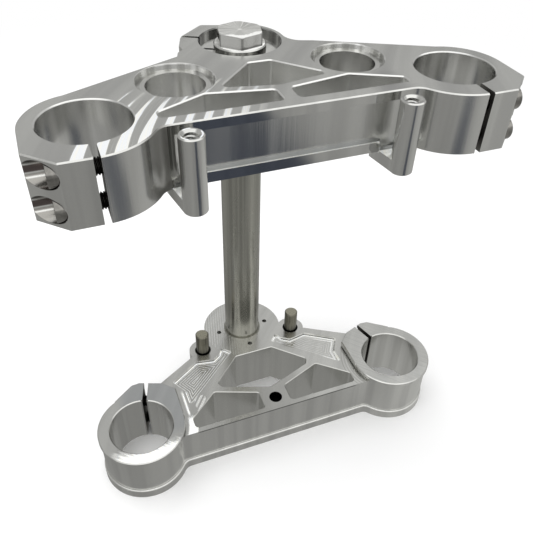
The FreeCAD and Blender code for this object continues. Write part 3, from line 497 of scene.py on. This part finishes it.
def upper_marks(w):
    """Paints the marks of the upper yoke and gives the mask of its slits."""
    # painted light: the walls of the bores and pockets are painted paler than the outer walls
    hollow = w.times(w.upright, w.highest(w.edge(w.y, -79.0, -78.0), w.in_bore), w.edge(w.far, 22.0, 20.9))
    pockets = w.times(w.upright, w.between(w.y, -77.0, -24.0, 0.5), w.edge(w.side_x, 66.0, 64.0))
    w.paint(HOLLOW_LIGHT, w.highest(hollow, pockets), 0.8)
    w.shade_bores(0.55)
    # painted shade on the wall right of the left slit, and painted shade in the nook between it and the post,
    # which is also rougher
    flank = w.times(w.edge(w.far, 22.0, 24.0), w.edge(w.x, -92.0, -80.0), w.edge(w.x, -55.0, -59.0))
    w.paint(WALL_SHADE, w.upright, flank, w.edge(w.y, -70.0, -76.0), 0.10)
    nook = w.times(w.upright, w.between(w.x, -70.0, -60.0, 3.0), w.edge(w.y, -76.0, -79.0))
    w.paint(NOOK_SHADE, nook, 0.85)
    w.rough = w.fade(nook, w.rough, 0.40)

    # painted sheen on the top: broad soft darker bands along the cutter arcs, and a patch of painted shade on the
    # right half
    top = w.times(w.level, w.edge(w.z, 256.9, 257.3))
    stripe = w.times(stripes_on_top(w), top)
    sweep = w.noise(w.vector(w.bow, w.times(w.y, 0.25), 0.0), 26.0, 1.0)
    w.paint(SWEEP_SHADE, top, w.ramp(sweep, 0.40, 0.62, 0.34, 0.0))
    w.paint(TOP_SHADE, top, w.between(w.x, 44.0, 58.0, 7.0), w.edge(w.y, -58.0, -66.0, 0.35, 0.8))

    # the seats of the risers are bored with a bright wall that has darker stretches of painted shade
    seat = 0.0
    for side in SIDES:
        away = w.distance(side * RISER.x, RISER.y)
        ring = w.times(w.between(away, 17.0, 19.7, 0.15), w.edge(w.z, 254.2, 254.7), w.edge(w.z, 257.4, 257.2))
        seat = w.plus(seat, w.times(ring, w.upright))
        w.paint(SEAT_SHADE, ring, w.bands_round(side * RISER.x, RISER.y), 0.75)
    w.paint(BORE_SHADE, w.upright, w.edge(w.distance(RISER.x, RISER.y), 15.0, 14.8), 0.3)

    # the front rails are finished with a sharper cutter than the other walls
    rail = w.times(w.between(w.y, -82.62, -82.38, 0.05), w.edge(w.side_x, 66.0, 63.0), w.upright)
    w.rough = w.fade(rail, w.rough, 0.09)
    w.fine = w.fade(rail, w.fine, 0.5)
    # painted shade on the ledge of the lower rail, and a painted highlight in the glint colour along its front
    # edge
    ledge = w.times(w.level, w.edge(w.z, 240.0, 236.0), w.edge(w.y, -78.5, -79.0))
    lip = w.times(ledge, w.edge(w.y, -81.3, -81.8))
    w.paint(LEDGE_SHADE, ledge, 0.9)
    w.paint(w.glint, lip)

    # the counterbore round the bolt is dark on its wall and pale on its floor
    near_bolt = w.edge(w.distance(0.0, 0.0), 24.0, 23.0)
    bands = w.math("MULTIPLY_ADD", w.bands_round(0.0, 0.0), 0.45, 0.5)
    w.paint(WELL_SHADE, w.upright, near_bolt, w.edge(w.z, 250.0, 251.0), bands)
    well_floor = w.times(w.level, near_bolt, w.between(w.z, 250.6, 252.4, 0.2), 0.9)

    # the cutter arcs are real marks, their brightness a painted highlight in the glint colour with the normal
    # leaned forward
    w.paint(w.glint, stripe)
    w.rough = w.fade(stripe, w.rough, 0.16)
    # painted shade, highlights and reflections round the counterbores of the clamp screws
    paint_counterbore_light(w)
    w.lean_y = w.times(w.highest(well_floor, stripe, lip), -0.42)
    w.lean_z = w.times(seat, w.edge(w.x, -10.0, 10.0, 0.28, 0.24))
    slit = w.times(w.upright, w.between(w.side_x, 90.9, 94.1, 0.1), w.edge(w.y, -87.0, -88.2))
    return w.times(slit, w.ramp(w.size(w.normal_x), 0.6, 0.9))


def recess_lines(w):
    """Distance from the outline of the arm recess and the cutter lines that run parallel to it."""
    gaps = []
    for first, last in zip(RECESS, RECESS[1:] + RECESS[:1]):
        run = Vector((last[0] - first[0], last[1] - first[1])).normalized()
        # the recess lies on the right hand of each run
        away = w.times(w.minus(w.side_x, first[0] * MM), run.y)
        gaps.append(w.minus(away, w.times(w.minus(w.y, first[1] * MM), run.x)))
    # the outline is hollow at three of its corners
    neck, shoulder = w.highest(*gaps[1:4]), w.highest(*gaps[5:7])
    nearest = w.lowest(gaps[0], neck, gaps[4], shoulder, gaps[7])
    return nearest, w.ramp(w.wave(nearest, w.settings.pass_pitch), 0.25, 0.9)


def lower_marks(w):
    """Paints the marks of the lower yoke and gives the mask of its slits."""
    right = w.edge(w.x, -10.0, 10.0)
    left = w.minus(1.0, right)
    w.shade_bores(0.35)
    w.paint(BORE_SHADE, w.bore, right, w.edge(w.off, 2.0, -12.0, 0.1, 0.6))
    w.paint(POCKET_SHADE, w.upright, w.between(w.y, -77.5, -27.0, 0.5), w.edge(w.side_x, 62.0, 60.0), 0.5)

    # the right recess is smoother than the left one, with one broad pass along its outer end that gets a painted
    # highlight
    floor = w.times(w.level, w.between(w.z, 31.9, 32.3, 0.05))
    inner, lines = recess_lines(w)
    slope = w.ramp(w.size(w.normal_z), 0.3, 0.6)
    rim = w.times(slope, w.between(w.z, 31.9, 33.6, 0.05), w.edge(w.size(inner), 1.25, 0.75))
    broad_pass = w.times(floor, right, w.edge(w.side_x, 44.0, 50.0), w.between(inner, 2.0, 3.2, 0.3))
    lines = w.times(lines, floor, w.fade(right, 1.0, 0.55))

    # painted highlight at the front of the ring tops, where the turned face catches the light, and painted cool
    # shade behind it on the left ring
    crown = w.times(w.level, w.edge(w.z, 38.0, 38.6))
    streaks = w.noise(w.vector(w.aslant(1.0, 1.0), w.aslant(-0.03, 0.03), 0.0), 500.0, 3.0)
    front = w.edge(w.math("MULTIPLY_ADD", w.minus(streaks, 0.5), 14.0 * MM, w.y), -81.0, -90.0)
    shine = w.times(crown, front, w.fade(left, 0.18, 1.0))
    w.paint(COOL_SHADE, crown, left, w.edge(w.y, -84.0, -74.0), w.edge(w.x, -108.0, -97.0), 0.60)

    # parallel passes on the right ring top and beside the stem, where the rows get a faint painted highlight
    passes = w.ramp(w.noise(w.vector(w.aslant(1.0, 0.9), 0.0, 0.0), 700.0, 1.0), 0.42, 0.62)
    w.paint(PASS_SHADE, crown, right, passes, 0.35)
    on_top = w.edge(w.z, 34.0, 34.4)
    boss = w.times(w.level, w.edge(w.distance(0.0, 0.0), 29.3, 28.9), on_top)
    rows = w.ramp(w.wave(w.aslant(1.0, -0.25), 1.9 * MM, "SINE"), -0.2, 0.9)
    rows = w.times(rows, boss, w.edge(w.x, 4.0, -16.0))

    # the cut round the left ring gets a painted highlight, and the one round the right ring shows its passes
    plate = w.times(w.level, w.between(w.z, 34.3, 34.9, 0.1))
    strip = w.times(w.between(w.x, -60.9, -59.3, 0.7), w.between(w.y, -67.0, -46.0, 3.0))
    patch = w.times(w.between(w.far, 30.6, 37.0, 1.0), w.between(w.y, -84.0, -68.0, 3.0), left)
    bright_cut = w.times(plate, w.highest(strip, patch), w.ramp(streaks, 0.25, 0.45, 0.6, 0.95))
    rounds = w.times(w.ramp(w.wave(w.far, 2.1 * MM), -0.2, 0.8), w.edge(w.far, 36.8, 35.6))
    w.paint(BORE_SHADE, plate, right, rounds, w.between(w.y, -84.0, -38.0, 2.0), 0.4)
    w.paint(RIB_SHADE, plate, w.edge(w.side_x, 30.0, 16.0), w.edge(w.y, -48.0, -54.0), 0.5)
    # short strokes where the left arm meets its ring, which get a painted highlight
    strokes = w.ramp(w.wave(w.aslant(0.79, -0.61), 3.1 * MM, "SINE"), -0.7, 0.0)
    beside = w.times(w.between(w.x, -54.5, -45.5, 1.0), w.between(w.y, -66.0, -52.5, 1.0))
    strokes = w.times(strokes, w.level, on_top, beside)

    # painted shade in the left recess between its cutter lines, which get a painted highlight
    w.paint(GROOVE_SHADE, floor, w.minus(1.0, lines), w.fade(right, 0.35, 0.0))
    # a dark line under the top edge of the front wall, painted shade in the wells of the stop pins and painted
    # shade in the front hole
    line = w.times(w.between(w.z, 33.3, 34.3, 0.1), w.edge(w.y, -80.6, -81.0), w.edge(w.side_x, 60.0, 56.0), 0.7)
    pin = middle("stop_pin_right")
    from_pin = w.hypotenuse(w.minus(w.side_x, pin.x), w.minus(w.y, pin.y))
    well = w.times(w.edge(from_pin, 6.15, 6.05), w.edge(w.z, 34.5, 34.2))
    w.paint(DARK_LINE_AND_PIN_WELL_SHADE, w.highest(line, well))
    w.paint(HOLE_SHADE, w.upright, w.edge(w.distance(0.0, FRONT_HOLE_Y), 5.0, 4.7), 0.93)

    # painted highlight in the glint colour, with the normal leaned forward, on the recess rim, the ring-top
    # shine, the bright cut, and fainter on the cutter lines, rows, strokes and broad pass
    faint = w.highest(w.times(lines, 0.75), w.times(rows, 0.35), w.times(strokes, 0.6), w.times(broad_pass, 0.65))
    lit = w.highest(rim, shine, bright_cut, faint)
    w.paint(w.glint, lit)
    w.lean_y = w.times(lit, -0.60)
    across = w.times(w.minus(w.side_x, FORK.x), math.cos(LOWER_SLIT_TURN))
    across = w.math("MULTIPLY_ADD", w.minus(w.y, FORK.y), math.sin(LOWER_SLIT_TURN), across)
    slit = w.times(w.upright, w.edge(w.size(across), 2.6, 2.3), w.edge(w.far, 20.3, 20.8))
    return w.times(slit, w.edge(w.y, -50.0, -48.0))


def milled_aluminium(name, settings, marks):
    """Bare milled aluminium with the marks of one yoke, and painted shade on the sawn, rougher walls of its
    slits.
    """
    mat, tree, shader = metal(name)
    w = Milling(tree, settings)
    slit = marks(w)
    # painted shade on the walls of the narrow slits, which are also rougher
    w.paint(tuple(settings.slit_wall_shade), slit)
    w.link(w.tint, shader.inputs["Base Color"])
    w.link(w.fade(slit, w.rough, 0.5), shader.inputs["Roughness"])
    w.bumped(shader, w.fine, 0.12, w.leaned(w.lean_y, w.lean_z))
    return mat


def middle(node):
    """Middle of a node's box."""
    low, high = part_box(node)
    return (low + high) / 2


def turned_steel(name, tone):
    """Turned steel with fine rings round its axis and soft upright bands of painted reflection."""
    mat, tree, shader = metal(name)
    w = Wiring(tree)
    rings = w.noise(w.vector(w.times(w.x, 0.05), w.times(w.y, 0.05), w.z), 1800.0, 2.0)
    band = w.noise(w.facing(0.0, 0.0, 0.6), 5.0, 3.0)
    cloud = w.noise(w.vector(w.x, w.y, w.times(w.z, 0.4)), 60.0, 2.0)
    # painted reflection in soft upright bands of tone
    tint = w.blend(w.ramp(band, 0.36, 0.64), scaled(tone, 0.75), tuple(tone))
    # painted shade towards its foot and its right hand side
    foot, side = w.edge(w.z, 120.0, 50.0, 0.0, 0.40), w.edge(w.x, 1.0, 10.0, 0.0, 0.40)
    w.link(w.blend(w.highest(foot, side), tint, STEM_SHADE), shader.inputs["Base Color"])
    w.link(w.math("MULTIPLY_ADD", w.minus(cloud, 0.5), 0.10, 0.27), shader.inputs["Roughness"])
    w.bumped(shader, rings, 0.08)
    return mat


def bolt_steel(name, tone):
    """Polished bolt with fine rays on its face, where it was faced on the lathe."""
    mat, tree, shader = metal(name)
    w = Wiring(tree)
    away = w.distance(0.0, 0.0)
    face = w.ramp(w.normal_z, 0.85, 0.97)
    rays = w.noise(w.facing(0.0, 0.0, 0.0), 14.0, 3.0, 0.6)
    wide = w.noise(w.facing(0.0, 0.0, 0.0), 2.2, 1.0)
    # painted highlight: the rays shine at the middle and along the front rim
    comb = w.math("MULTIPLY_ADD", w.minus(rays, 0.5), 7.0 * MM, away)
    rim = w.times(w.edge(comb, 7.2, 9.2), w.edge(w.y, -3.5, -7.0), 1.45)
    lit = w.times(w.highest(w.ramp(rays, 0.38, 0.62, 0.25, 0.95), w.edge(away, 3.2, 0.4), rim), face)
    side = w.noise(w.facing(0.0, 0.0, 20.0), 1.8, 1.0)
    tint = w.blend(w.ramp(side, 0.35, 0.65), scaled(tone, 0.78), scaled(tone, 0.92))
    # the corners of the hexagon are darker
    corner = w.times(w.edge(away, 12.7, 13.1), w.edge(w.z, 256.6, 257.0), 0.8)
    tint = w.blend(corner, tint, CORNER_SHADE)
    tint = w.blend(w.times(face, w.ramp(wide, 0.56, 0.40, 0.0, 0.15)), tint, FACE_SHADE)
    tint = w.blend(lit, tint, RAY_LIGHT)
    w.link(tint, shader.inputs["Base Color"])
    w.link(w.fade(face, 0.17, 0.24), shader.inputs["Roughness"])
    flank = w.times(w.ramp(w.size(w.normal_z), 0.3, 0.1), w.ramp(side, 0.3, 0.7, 0.20, 0.24))
    w.bumped(shader, rays, 0.10, w.leaned(w.times(lit, -0.50), flank))
    return mat


def pin_steel(name, tone, axis):
    """Ground pin with upright scratches, a paler end and painted shade at its foot."""
    mat, tree, shader = metal(name)
    w = Wiring(tree)
    scratches = w.noise(w.facing(axis.x, axis.y, 1.5), 7.0, 4.0, 0.65)
    tint = w.blend(w.ramp(scratches, 0.36, 0.62), scaled(tone, 0.42), tuple(tone))
    end = w.times(w.ramp(w.normal_z, 0.8, 0.95), w.edge(w.distance(axis.x, axis.y), 4.4, 3.6, 0.55, 1.0))
    tint = w.blend(end, tint, scaled(tone, 1.9))
    # painted shade at the foot, darker towards the plate and inside the well
    rise = w.minus(w.z, PLATE_TOP)
    foot = w.highest(w.edge(rise, 9.0, 0.0, 0.0, 0.6), w.edge(rise, 1.8, 0.3))
    w.link(w.blend(foot, tint, PIN_FOOT_SHADE), shader.inputs["Base Color"])
    w.link(w.ramp(scratches, 0.3, 0.7, 0.24, 0.36), shader.inputs["Roughness"])
    w.bumped(shader, scratches, 0.10)
    return mat


def screw_finish(name, tone, rough, depth):
    """Blackened or bright screw steel with small worn patches."""
    mat, tree, shader = metal(name)
    w = Wiring(tree)
    worn = w.noise(w.object, 420.0, 3.0)
    w.link(w.blend(w.ramp(worn, 0.35, 0.65), scaled(tone, depth), tuple(tone)), shader.inputs["Base Color"])
    w.link(w.ramp(worn, 0.3, 0.7, rough, rough + 0.08), shader.inputs["Roughness"])
    w.bumped(shader, w.noise(w.object, 3000.0, 1.0), 0.05)
    return mat


def dress(node, mat):
    """Puts one material into all slots of a node."""
    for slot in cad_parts[node].material_slots:
        slot.material = mat


def pick_out(*pieces):
    """Selects these pieces only, with the last one active."""
    bpy.ops.object.select_all(action="DESELECT")
    for piece in pieces:
        piece.select_set(True)
    bpy.context.view_layer.objects.active = pieces[-1]


def settle(piece, matrix=Matrix.Identity(4)):
    """Puts a piece's place into its mesh, so that its object stands at the origin."""
    piece.data.transform(matrix @ piece.matrix_basis)
    piece.matrix_basis = Matrix.Identity(4)


def finish_modifiers(piece):
    """Applies all modifiers of a piece."""
    pick_out(piece)
    for item in list(piece.modifiers):
        bpy.ops.object.modifier_apply(modifier=item.name)


def add_cylinder(vertices, radius, low, high):
    """Cylinder on the Z axis from low to high."""
    bpy.ops.object.select_all(action="DESELECT")
    bpy.ops.mesh.primitive_cylinder_add(
        vertices=vertices, radius=radius, depth=high - low, location=(0.0, 0.0, (low + high) / 2))
    piece = bpy.context.object
    settle(piece)
    return piece


def bevel_edges(piece, width, segments):
    """Adds a bevel on the sharp edges of a piece."""
    item = piece.modifiers.new("edges", "BEVEL")
    item.width = width
    item.segments = segments
    item.limit_method = "ANGLE"
    item.angle_limit = BEVEL_ANGLE


def thread_ridge(root, crest, pitch, turns):
    """Helical ridge round the Z axis, going up from zero, closed at both ends. Sizes are in millimetres."""
    bpy.ops.object.select_all(action="DESELECT")
    bpy.ops.mesh.primitive_plane_add(size=1.0)
    ridge = bpy.context.object
    section = ((root, 0.0), (crest, 0.43 * pitch), (root, 0.98 * pitch), (crest, 0.55 * pitch))
    for vertex, (radius, height) in zip(ridge.data.vertices, section):
        vertex.co = (radius, 0.0, height)
    bpy.ops.object.mode_set(mode="EDIT")
    bpy.ops.mesh.select_all(action="SELECT")
    bpy.ops.mesh.delete(type="ONLY_FACE")
    bpy.ops.object.mode_set(mode="OBJECT")
    wind = ridge.modifiers.new("wind", "SCREW")
    wind.axis = "Z"
    wind.angle = 2.0 * math.pi
    wind.screw_offset = pitch
    wind.iterations = turns
    wind.steps = wind.render_steps = 24
    finish_modifiers(ridge)
    bpy.ops.object.mode_set(mode="EDIT")
    bpy.ops.mesh.select_all(action="SELECT")
    bpy.ops.mesh.fill_holes(sides=4)
    bpy.ops.mesh.select_all(action="SELECT")
    bpy.ops.mesh.normals_make_consistent(inside=False)
    bpy.ops.object.mode_set(mode="OBJECT")
    return ridge


def cap_screw(sizes, pitch, head_steel, dark_steel):
    """Socket head screw with its seat at zero and its head upwards. Sizes are in millimetres."""
    top, length = sizes["head_height"], sizes["length"]
    head = add_cylinder(48, sizes["head_radius"], 0.0, top)
    socket = add_cylinder(6, sizes["flats"] / math.sqrt(3.0), top - sizes["deep"], top + sizes["deep"])
    cut = head.modifiers.new("socket", "BOOLEAN")
    cut.operation = "DIFFERENCE"
    cut.solver = "EXACT"
    cut.object = socket
    bevel_edges(head, 0.35, 3)
    finish_modifiers(head)
    bpy.data.objects.remove(socket)
    head.data.materials.append(head_steel)

    root = sizes["shank_radius"] - 0.6 * pitch
    core = add_cylinder(32, root, 0.1 - length, 0.2)
    bevel_edges(core, 0.4, 2)
    finish_modifiers(core)
    core.data.materials.append(dark_steel)
    turns = int((length - 1.6 - pitch) / pitch)
    ridge = thread_ridge(root - 0.06, sizes["shank_radius"], pitch, turns)
    settle(ridge, Matrix.Translation((0.0, 0.0, 0.5 - length)))
    ridge.data.materials.append(dark_steel)

    pick_out(core, ridge, head)
    bpy.ops.object.join()
    bpy.ops.object.shade_smooth_by_angle(angle=SMOOTH_ANGLE)
    return head


def place_copy(pattern, name, seat, upwards):
    """Copy of a piece drawn in millimetres, with its zero at seat and its Z axis along upwards."""
    piece = pattern.copy()
    piece.data = pattern.data.copy()
    piece.name = name
    bpy.context.collection.objects.link(piece)
    turn = Vector((0.0, 0.0, 1.0)).rotation_difference(Vector(upwards)).to_matrix().to_4x4()
    piece.data.transform(Matrix.Translation(seat) @ turn @ Matrix.Scale(MM, 4))
    return piece


def fork_screw_places():
    """Name, seat and direction of the eight fork clamp screws."""
    places = []
    for side, word in zip(SIDES, ("left", "right")):
        slit = Vector((-side * math.sin(LOWER_SLIT_TURN), math.cos(LOWER_SLIT_TURN), 0.0))
        across = Vector((side * slit.y, -side * slit.x, 0.0))
        for height, upper_z, lower_z in zip(("high", "low"), UPPER_SCREW_HEIGHTS, LOWER_SCREW_HEIGHTS):
            seat = Vector((side * UPPER_SEAT_X, UPPER_SEAT_Y, upper_z)) * MM
            places.append(("upper_clamp_screw_%s_%s" % (word, height), seat, Vector((side, 0.0, 0.0))))
            fork = Vector((side * FORK.x, FORK.y, lower_z * MM))
            seat = fork + (slit * LOWER_SEAT_ALONG + across * LOWER_SEAT_BESIDE) * MM
            places.append(("lower_clamp_screw_%s_%s" % (word, height), seat, across))
    return places


def stand_for(piece, node):
    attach(piece, "root")
    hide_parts(node)


class CLAMP_OT_upper_yoke(bpy.types.Operator):
    """Gives the upper yoke its milled aluminium with bright cutter arcs"""

    bl_idname = "clamp.upper_yoke"
    bl_label = "Upper yoke"

    def execute(self, context):
        dress("top_yoke", milled_aluminium("upper_aluminium", context.scene.clamp_finish, upper_marks))
        return {"FINISHED"}


class CLAMP_OT_lower_yoke(bpy.types.Operator):
    """Gives the lower yoke its milled aluminium with cutter lines in the recesses"""

    bl_idname = "clamp.lower_yoke"
    bl_label = "Lower yoke"

    def execute(self, context):
        dress("bottom_yoke", milled_aluminium("lower_aluminium", context.scene.clamp_finish, lower_marks))
        return {"FINISHED"}


class CLAMP_OT_stem(bpy.types.Operator):
    """Gives the stem its turned steel and the bolt its polish"""

    bl_idname = "clamp.stem"
    bl_label = "Stem and bolt"

    def execute(self, context):
        finish = context.scene.clamp_finish
        dress("steering_stem", turned_steel("stem_steel", finish.stem_steel))
        dress("stem_bolt", bolt_steel("bolt_steel", finish.bolt_steel))
        return {"FINISHED"}


class CLAMP_OT_stop_pins(bpy.types.Operator):
    """Gives the stop pins their dark ground steel"""

    bl_idname = "clamp.stop_pins"
    bl_label = "Stop pins"

    def execute(self, context):
        finish = context.scene.clamp_finish
        for node in ("stop_pin_left", "stop_pin_right"):
            dress(node, pin_steel(node + "_steel", finish.pin_steel, middle(node)))
        return {"FINISHED"}


class CLAMP_OT_fork_screws(bpy.types.Operator):
    """Models the fork clamp screws with their sockets and threads"""

    bl_idname = "clamp.fork_screws"
    bl_label = "Fork clamp screws"

    def execute(self, context):
        finish, sizes = context.scene.clamp_finish, context.scene.clamp_threads
        bright = screw_finish("screw_head_steel", finish.screw_steel, 0.12, 0.7)
        dark = screw_finish("screw_thread_steel", finish.thread_steel, 0.35, 0.5)
        pattern = cap_screw(FORK_SCREW, sizes.fork_pitch / MM, bright, dark)
        for node, seat, upwards in fork_screw_places():
            stand_for(place_copy(pattern, node + "_detailed", seat, upwards), node)
        bpy.data.objects.remove(pattern)
        return {"FINISHED"}


class CLAMP_OT_stem_clamp_screw(bpy.types.Operator):
    """Models the small screw that closes the ear on the stem"""

    bl_idname = "clamp.stem_clamp_screw"
    bl_label = "Stem clamp screw"

    def execute(self, context):
        sizes = context.scene.clamp_threads
        steels = [bpy.data.materials["screw_head_steel"], bpy.data.materials["screw_thread_steel"]]
        pattern = cap_screw(EAR_SCREW, sizes.ear_pitch / MM, *steels)
        slit = Vector((math.cos(EAR_SLIT_TURN), math.sin(EAR_SLIT_TURN), 0.0))
        across = Vector((slit.y, -slit.x, 0.0))
        seat = (slit * EAR_SEAT_ALONG + across * EAR_SEAT_BESIDE) * MM + Vector((0.0, 0.0, EAR_SEAT_HEIGHT * MM))
        stand_for(place_copy(pattern, "stem_clamp_screw_detailed", seat, across), "stem_clamp_screw")
        bpy.data.objects.remove(pattern)
        return {"FINISHED"}


class CLAMP_OT_post_threads(bpy.types.Operator):
    """Cuts the thread turns that show in the bracket posts"""

    bl_idname = "clamp.post_threads"
    bl_label = "Post threads"

    def execute(self, context):
        sizes = context.scene.clamp_threads
        pitch, turns = sizes.post_pitch / MM, sizes.post_turns
        pattern = thread_ridge(POST_THREAD_ROOT, POST_THREAD_CREST, pitch, turns)
        pick_out(pattern)
        bpy.ops.object.shade_smooth_by_angle(angle=SMOOTH_ANGLE)
        finish = screw_finish("post_thread_aluminium", context.scene.clamp_finish.aluminium, 0.15, 0.75)
        pattern.data.materials.append(finish)
        low = UPPER_TOP - (POST_THREAD_SUNK + (turns + 1) * pitch) * MM
        for side, word in zip(SIDES, ("left", "right")):
            seat = Vector((side * POST.x, POST.y, low))
            piece = place_copy(pattern, "post_thread_" + word, seat, (0.0, 0.0, 1.0))
            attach(piece, "root")
        bpy.data.objects.remove(pattern)
        return {"FINISHED"}


class CLAMP_OT_stage(bpy.types.Operator):
    """Adds the floor, the reflection tent, the soft lamp and the camera"""

    bl_idname = "clamp.stage"
    bl_label = "Stage"

    def execute(self, context):
        settings = context.scene.clamp_stage
        make_floor(settings)
        make_tent(settings)
        make_world()
        make_lamp(settings)
        make_camera(settings)
        context.scene.view_settings.view_transform = "Standard"
        return {"FINISHED"}


def make_floor(settings):
    """Pale floor that takes the shadow; the metal sees it as a grey table with a dark flag in front."""
    bpy.ops.object.select_all(action="DESELECT")
    bpy.ops.mesh.primitive_plane_add(size=6.0, location=(0.0, 0.0, 0.0))
    floor = bpy.context.object
    floor.name = "floor"
    mat, tree, shader = material("floor_paper")
    w = Wiring(tree)
    tone, table = tuple(settings.floor_tone), tuple(settings.table_tone)
    w.link(w.blend(w.noise(w.object, 40.0, 3.0), scaled(tone, 0.99), tone), shader.inputs["Base Color"])
    shader.inputs["Roughness"].default_value = 0.9
    cloud = w.noise(w.object, 5.0, 2.0)
    seen = w.blend(w.ramp(cloud, 0.3, 0.7), scaled(table, 0.88), scaled(table, 1.08))
    # paler towards the right, and more so close to the object's foot
    seen = w.blend(w.ramp(w.x, 0.10, 0.45), seen, scaled(table, 1.3))
    near = w.times(w.window(w.x, 0.075, 0.40, 0.03), w.ramp(w.y, -0.34, -0.20))
    seen = w.blend(near, seen, scaled(table, 1.5))
    flag = w.times(w.window(w.x, 0.012, 0.176, 0.014), w.window(w.y, -0.80, -0.335, 0.02))
    seen = w.blend(flag, seen, tuple(settings.flag_tone))
    rays = w.node("ShaderNodeLightPath")
    paper = w.pick(rays.outputs["Is Glossy Ray"], shader.outputs["BSDF"], w.glow(seen))
    # far from the object the camera sees plain white, so that the floor runs into the background
    outside = w.times(rays.outputs["Is Camera Ray"], w.ramp(w.distance(0.0, 0.0), 0.30, 0.85))
    w.link(w.pick(outside, paper, w.glow((1.0, 1.0, 1.0))), surface(tree))
    mat.cycles.emission_sampling = "NONE"
    floor.data.materials.append(mat)


def make_tent(settings):
    """Grey tent round the object with a bright front and top, seen by reflections only."""
    radius = 1.7
    bpy.ops.object.select_all(action="DESELECT")
    bpy.ops.mesh.primitive_uv_sphere_add(segments=48, ring_count=32, radius=radius, location=(0.0, 0.0, 0.0))
    tent = bpy.context.object
    tent.name = "reflection_tent"
    mat, tree, shader = material("tent_cloth")
    tree.nodes.remove(shader)
    w = Wiring(tree)
    height = w.math("DIVIDE", w.z, radius)
    tone = tuple(settings.tent_tone)
    cloud = w.noise(w.object, 1.6, 2.0)
    seen = w.blend(w.ramp(cloud, 0.3, 0.7), scaled(tone, 0.93), scaled(tone, 1.05))
    # lighter towards the right and further up
    lift = w.times(w.ramp(height, 0.45, 0.8), w.ramp(w.x, -0.1, 0.9))
    seen = w.blend(lift, seen, scaled(tone, 1.35))
    front = w.times(w.ramp(w.y, 0.1, -0.3), w.ramp(height, 0.30, 0.50))
    seen = w.blend(front, seen, (1.15, 1.15, 1.13))
    ceiling = w.ramp(height, 0.93, 0.97)
    seen = w.blend(ceiling, seen, (1.0, 1.0, 1.0))
    w.link(w.glow(seen), surface(tree))
    mat.cycles.emission_sampling = "NONE"
    tent.data.materials.append(mat)
    tent.visible_camera = False
    tent.visible_diffuse = False
    tent.visible_shadow = False
    tent.visible_transmission = False


def make_world():
    """White world."""
    world = bpy.data.worlds.new("studio")
    world.use_nodes = True
    tree = world.node_tree
    tree.nodes.clear()
    out = tree.nodes.new("ShaderNodeOutputWorld")
    back = tree.nodes.new("ShaderNodeBackground")
    back.inputs["Color"].default_value = (1.0, 1.0, 1.0, 1.0)
    back.inputs["Strength"].default_value = 1.0
    tree.links.new(back.outputs[0], out.inputs["Surface"])
    bpy.context.scene.world = world


def make_lamp(settings):
    """One soft lamp for the floor and its shadow; the metal gets its lights from the tent."""
    place, aim = Vector((-0.3, 0.1, 1.2)), Vector((0.0, 0.0, 0.1))
    bpy.ops.object.light_add(type="AREA", location=place)
    soft = bpy.context.object
    soft.name = "soft_top"
    soft.data.shape = "RECTANGLE"
    soft.data.size = soft.data.size_y = 0.9
    soft.data.energy = settings.lamp_power
    soft.rotation_euler = (aim - place).to_track_quat("-Z", "Y").to_euler()
    soft.visible_glossy = False


def make_camera(settings):
    """Camera that was fitted to the photograph."""
    bpy.ops.object.camera_add()
    camera = bpy.context.object
    camera.name = "photo_camera"
    yaw, down, roll = CAMERA_TURN
    back = Vector((math.sin(yaw) * math.cos(down), -math.cos(yaw) * math.cos(down), math.sin(down)))
    flat = Vector((math.cos(yaw), math.sin(yaw), 0.0))
    rise = back.cross(flat)
    right = math.cos(roll) * flat + math.sin(roll) * rise
    up = -math.sin(roll) * flat + math.cos(roll) * rise
    turn = Matrix((right, up, back)).transposed().to_4x4()
    camera.matrix_world = Matrix.Translation(CAMERA_PLACE) @ turn
    camera.data.sensor_width = 36.0
    camera.data.lens = settings.lens
    camera.data.shift_x, camera.data.shift_y = CAMERA_SHIFT
    camera.data.clip_start = 0.01
    bpy.context.scene.camera = camera


class CLAMP_PT_panel(bpy.types.Panel):
    """Lists the steps that dress the triple clamp"""

    bl_idname = "CLAMP_PT_panel"
    bl_label = "Triple clamp"
    bl_space_type = "VIEW_3D"
    bl_region_type = "UI"
    bl_category = "Triple clamp"

    def draw(self, context):
        for step in STEPS:
            self.layout.operator(step.bl_idname)


STEPS = (
    CLAMP_OT_upper_yoke,
    CLAMP_OT_lower_yoke,
    CLAMP_OT_stem,
    CLAMP_OT_stop_pins,
    CLAMP_OT_fork_screws,
    CLAMP_OT_stem_clamp_screw,
    CLAMP_OT_post_threads,
    CLAMP_OT_stage,
)
SETTINGS = {
    "clamp_finish": ClampFinishSettings,
    "clamp_threads": ClampThreadSettings,
    "clamp_stage": ClampStageSettings,
}


def register():
    for cls in (*SETTINGS.values(), *STEPS, CLAMP_PT_panel):
        bpy.utils.register_class(cls)
    for name, cls in SETTINGS.items():
        setattr(bpy.types.Scene, name, bpy.props.PointerProperty(type=cls))


def unregister():
    for name in SETTINGS:
        delattr(bpy.types.Scene, name)
    for cls in reversed((*SETTINGS.values(), *STEPS, CLAMP_PT_panel)):
        bpy.utils.unregister_class(cls)


def main():
    register()
    bpy.ops.clamp.upper_yoke()
    bpy.ops.clamp.lower_yoke()
    bpy.ops.clamp.stem()
    bpy.ops.clamp.stop_pins()
    bpy.ops.clamp.fork_screws()
    bpy.ops.clamp.stem_clamp_screw()
    bpy.ops.clamp.post_threads()
    bpy.ops.clamp.stage()


if __name__ == "__main__":
    main()
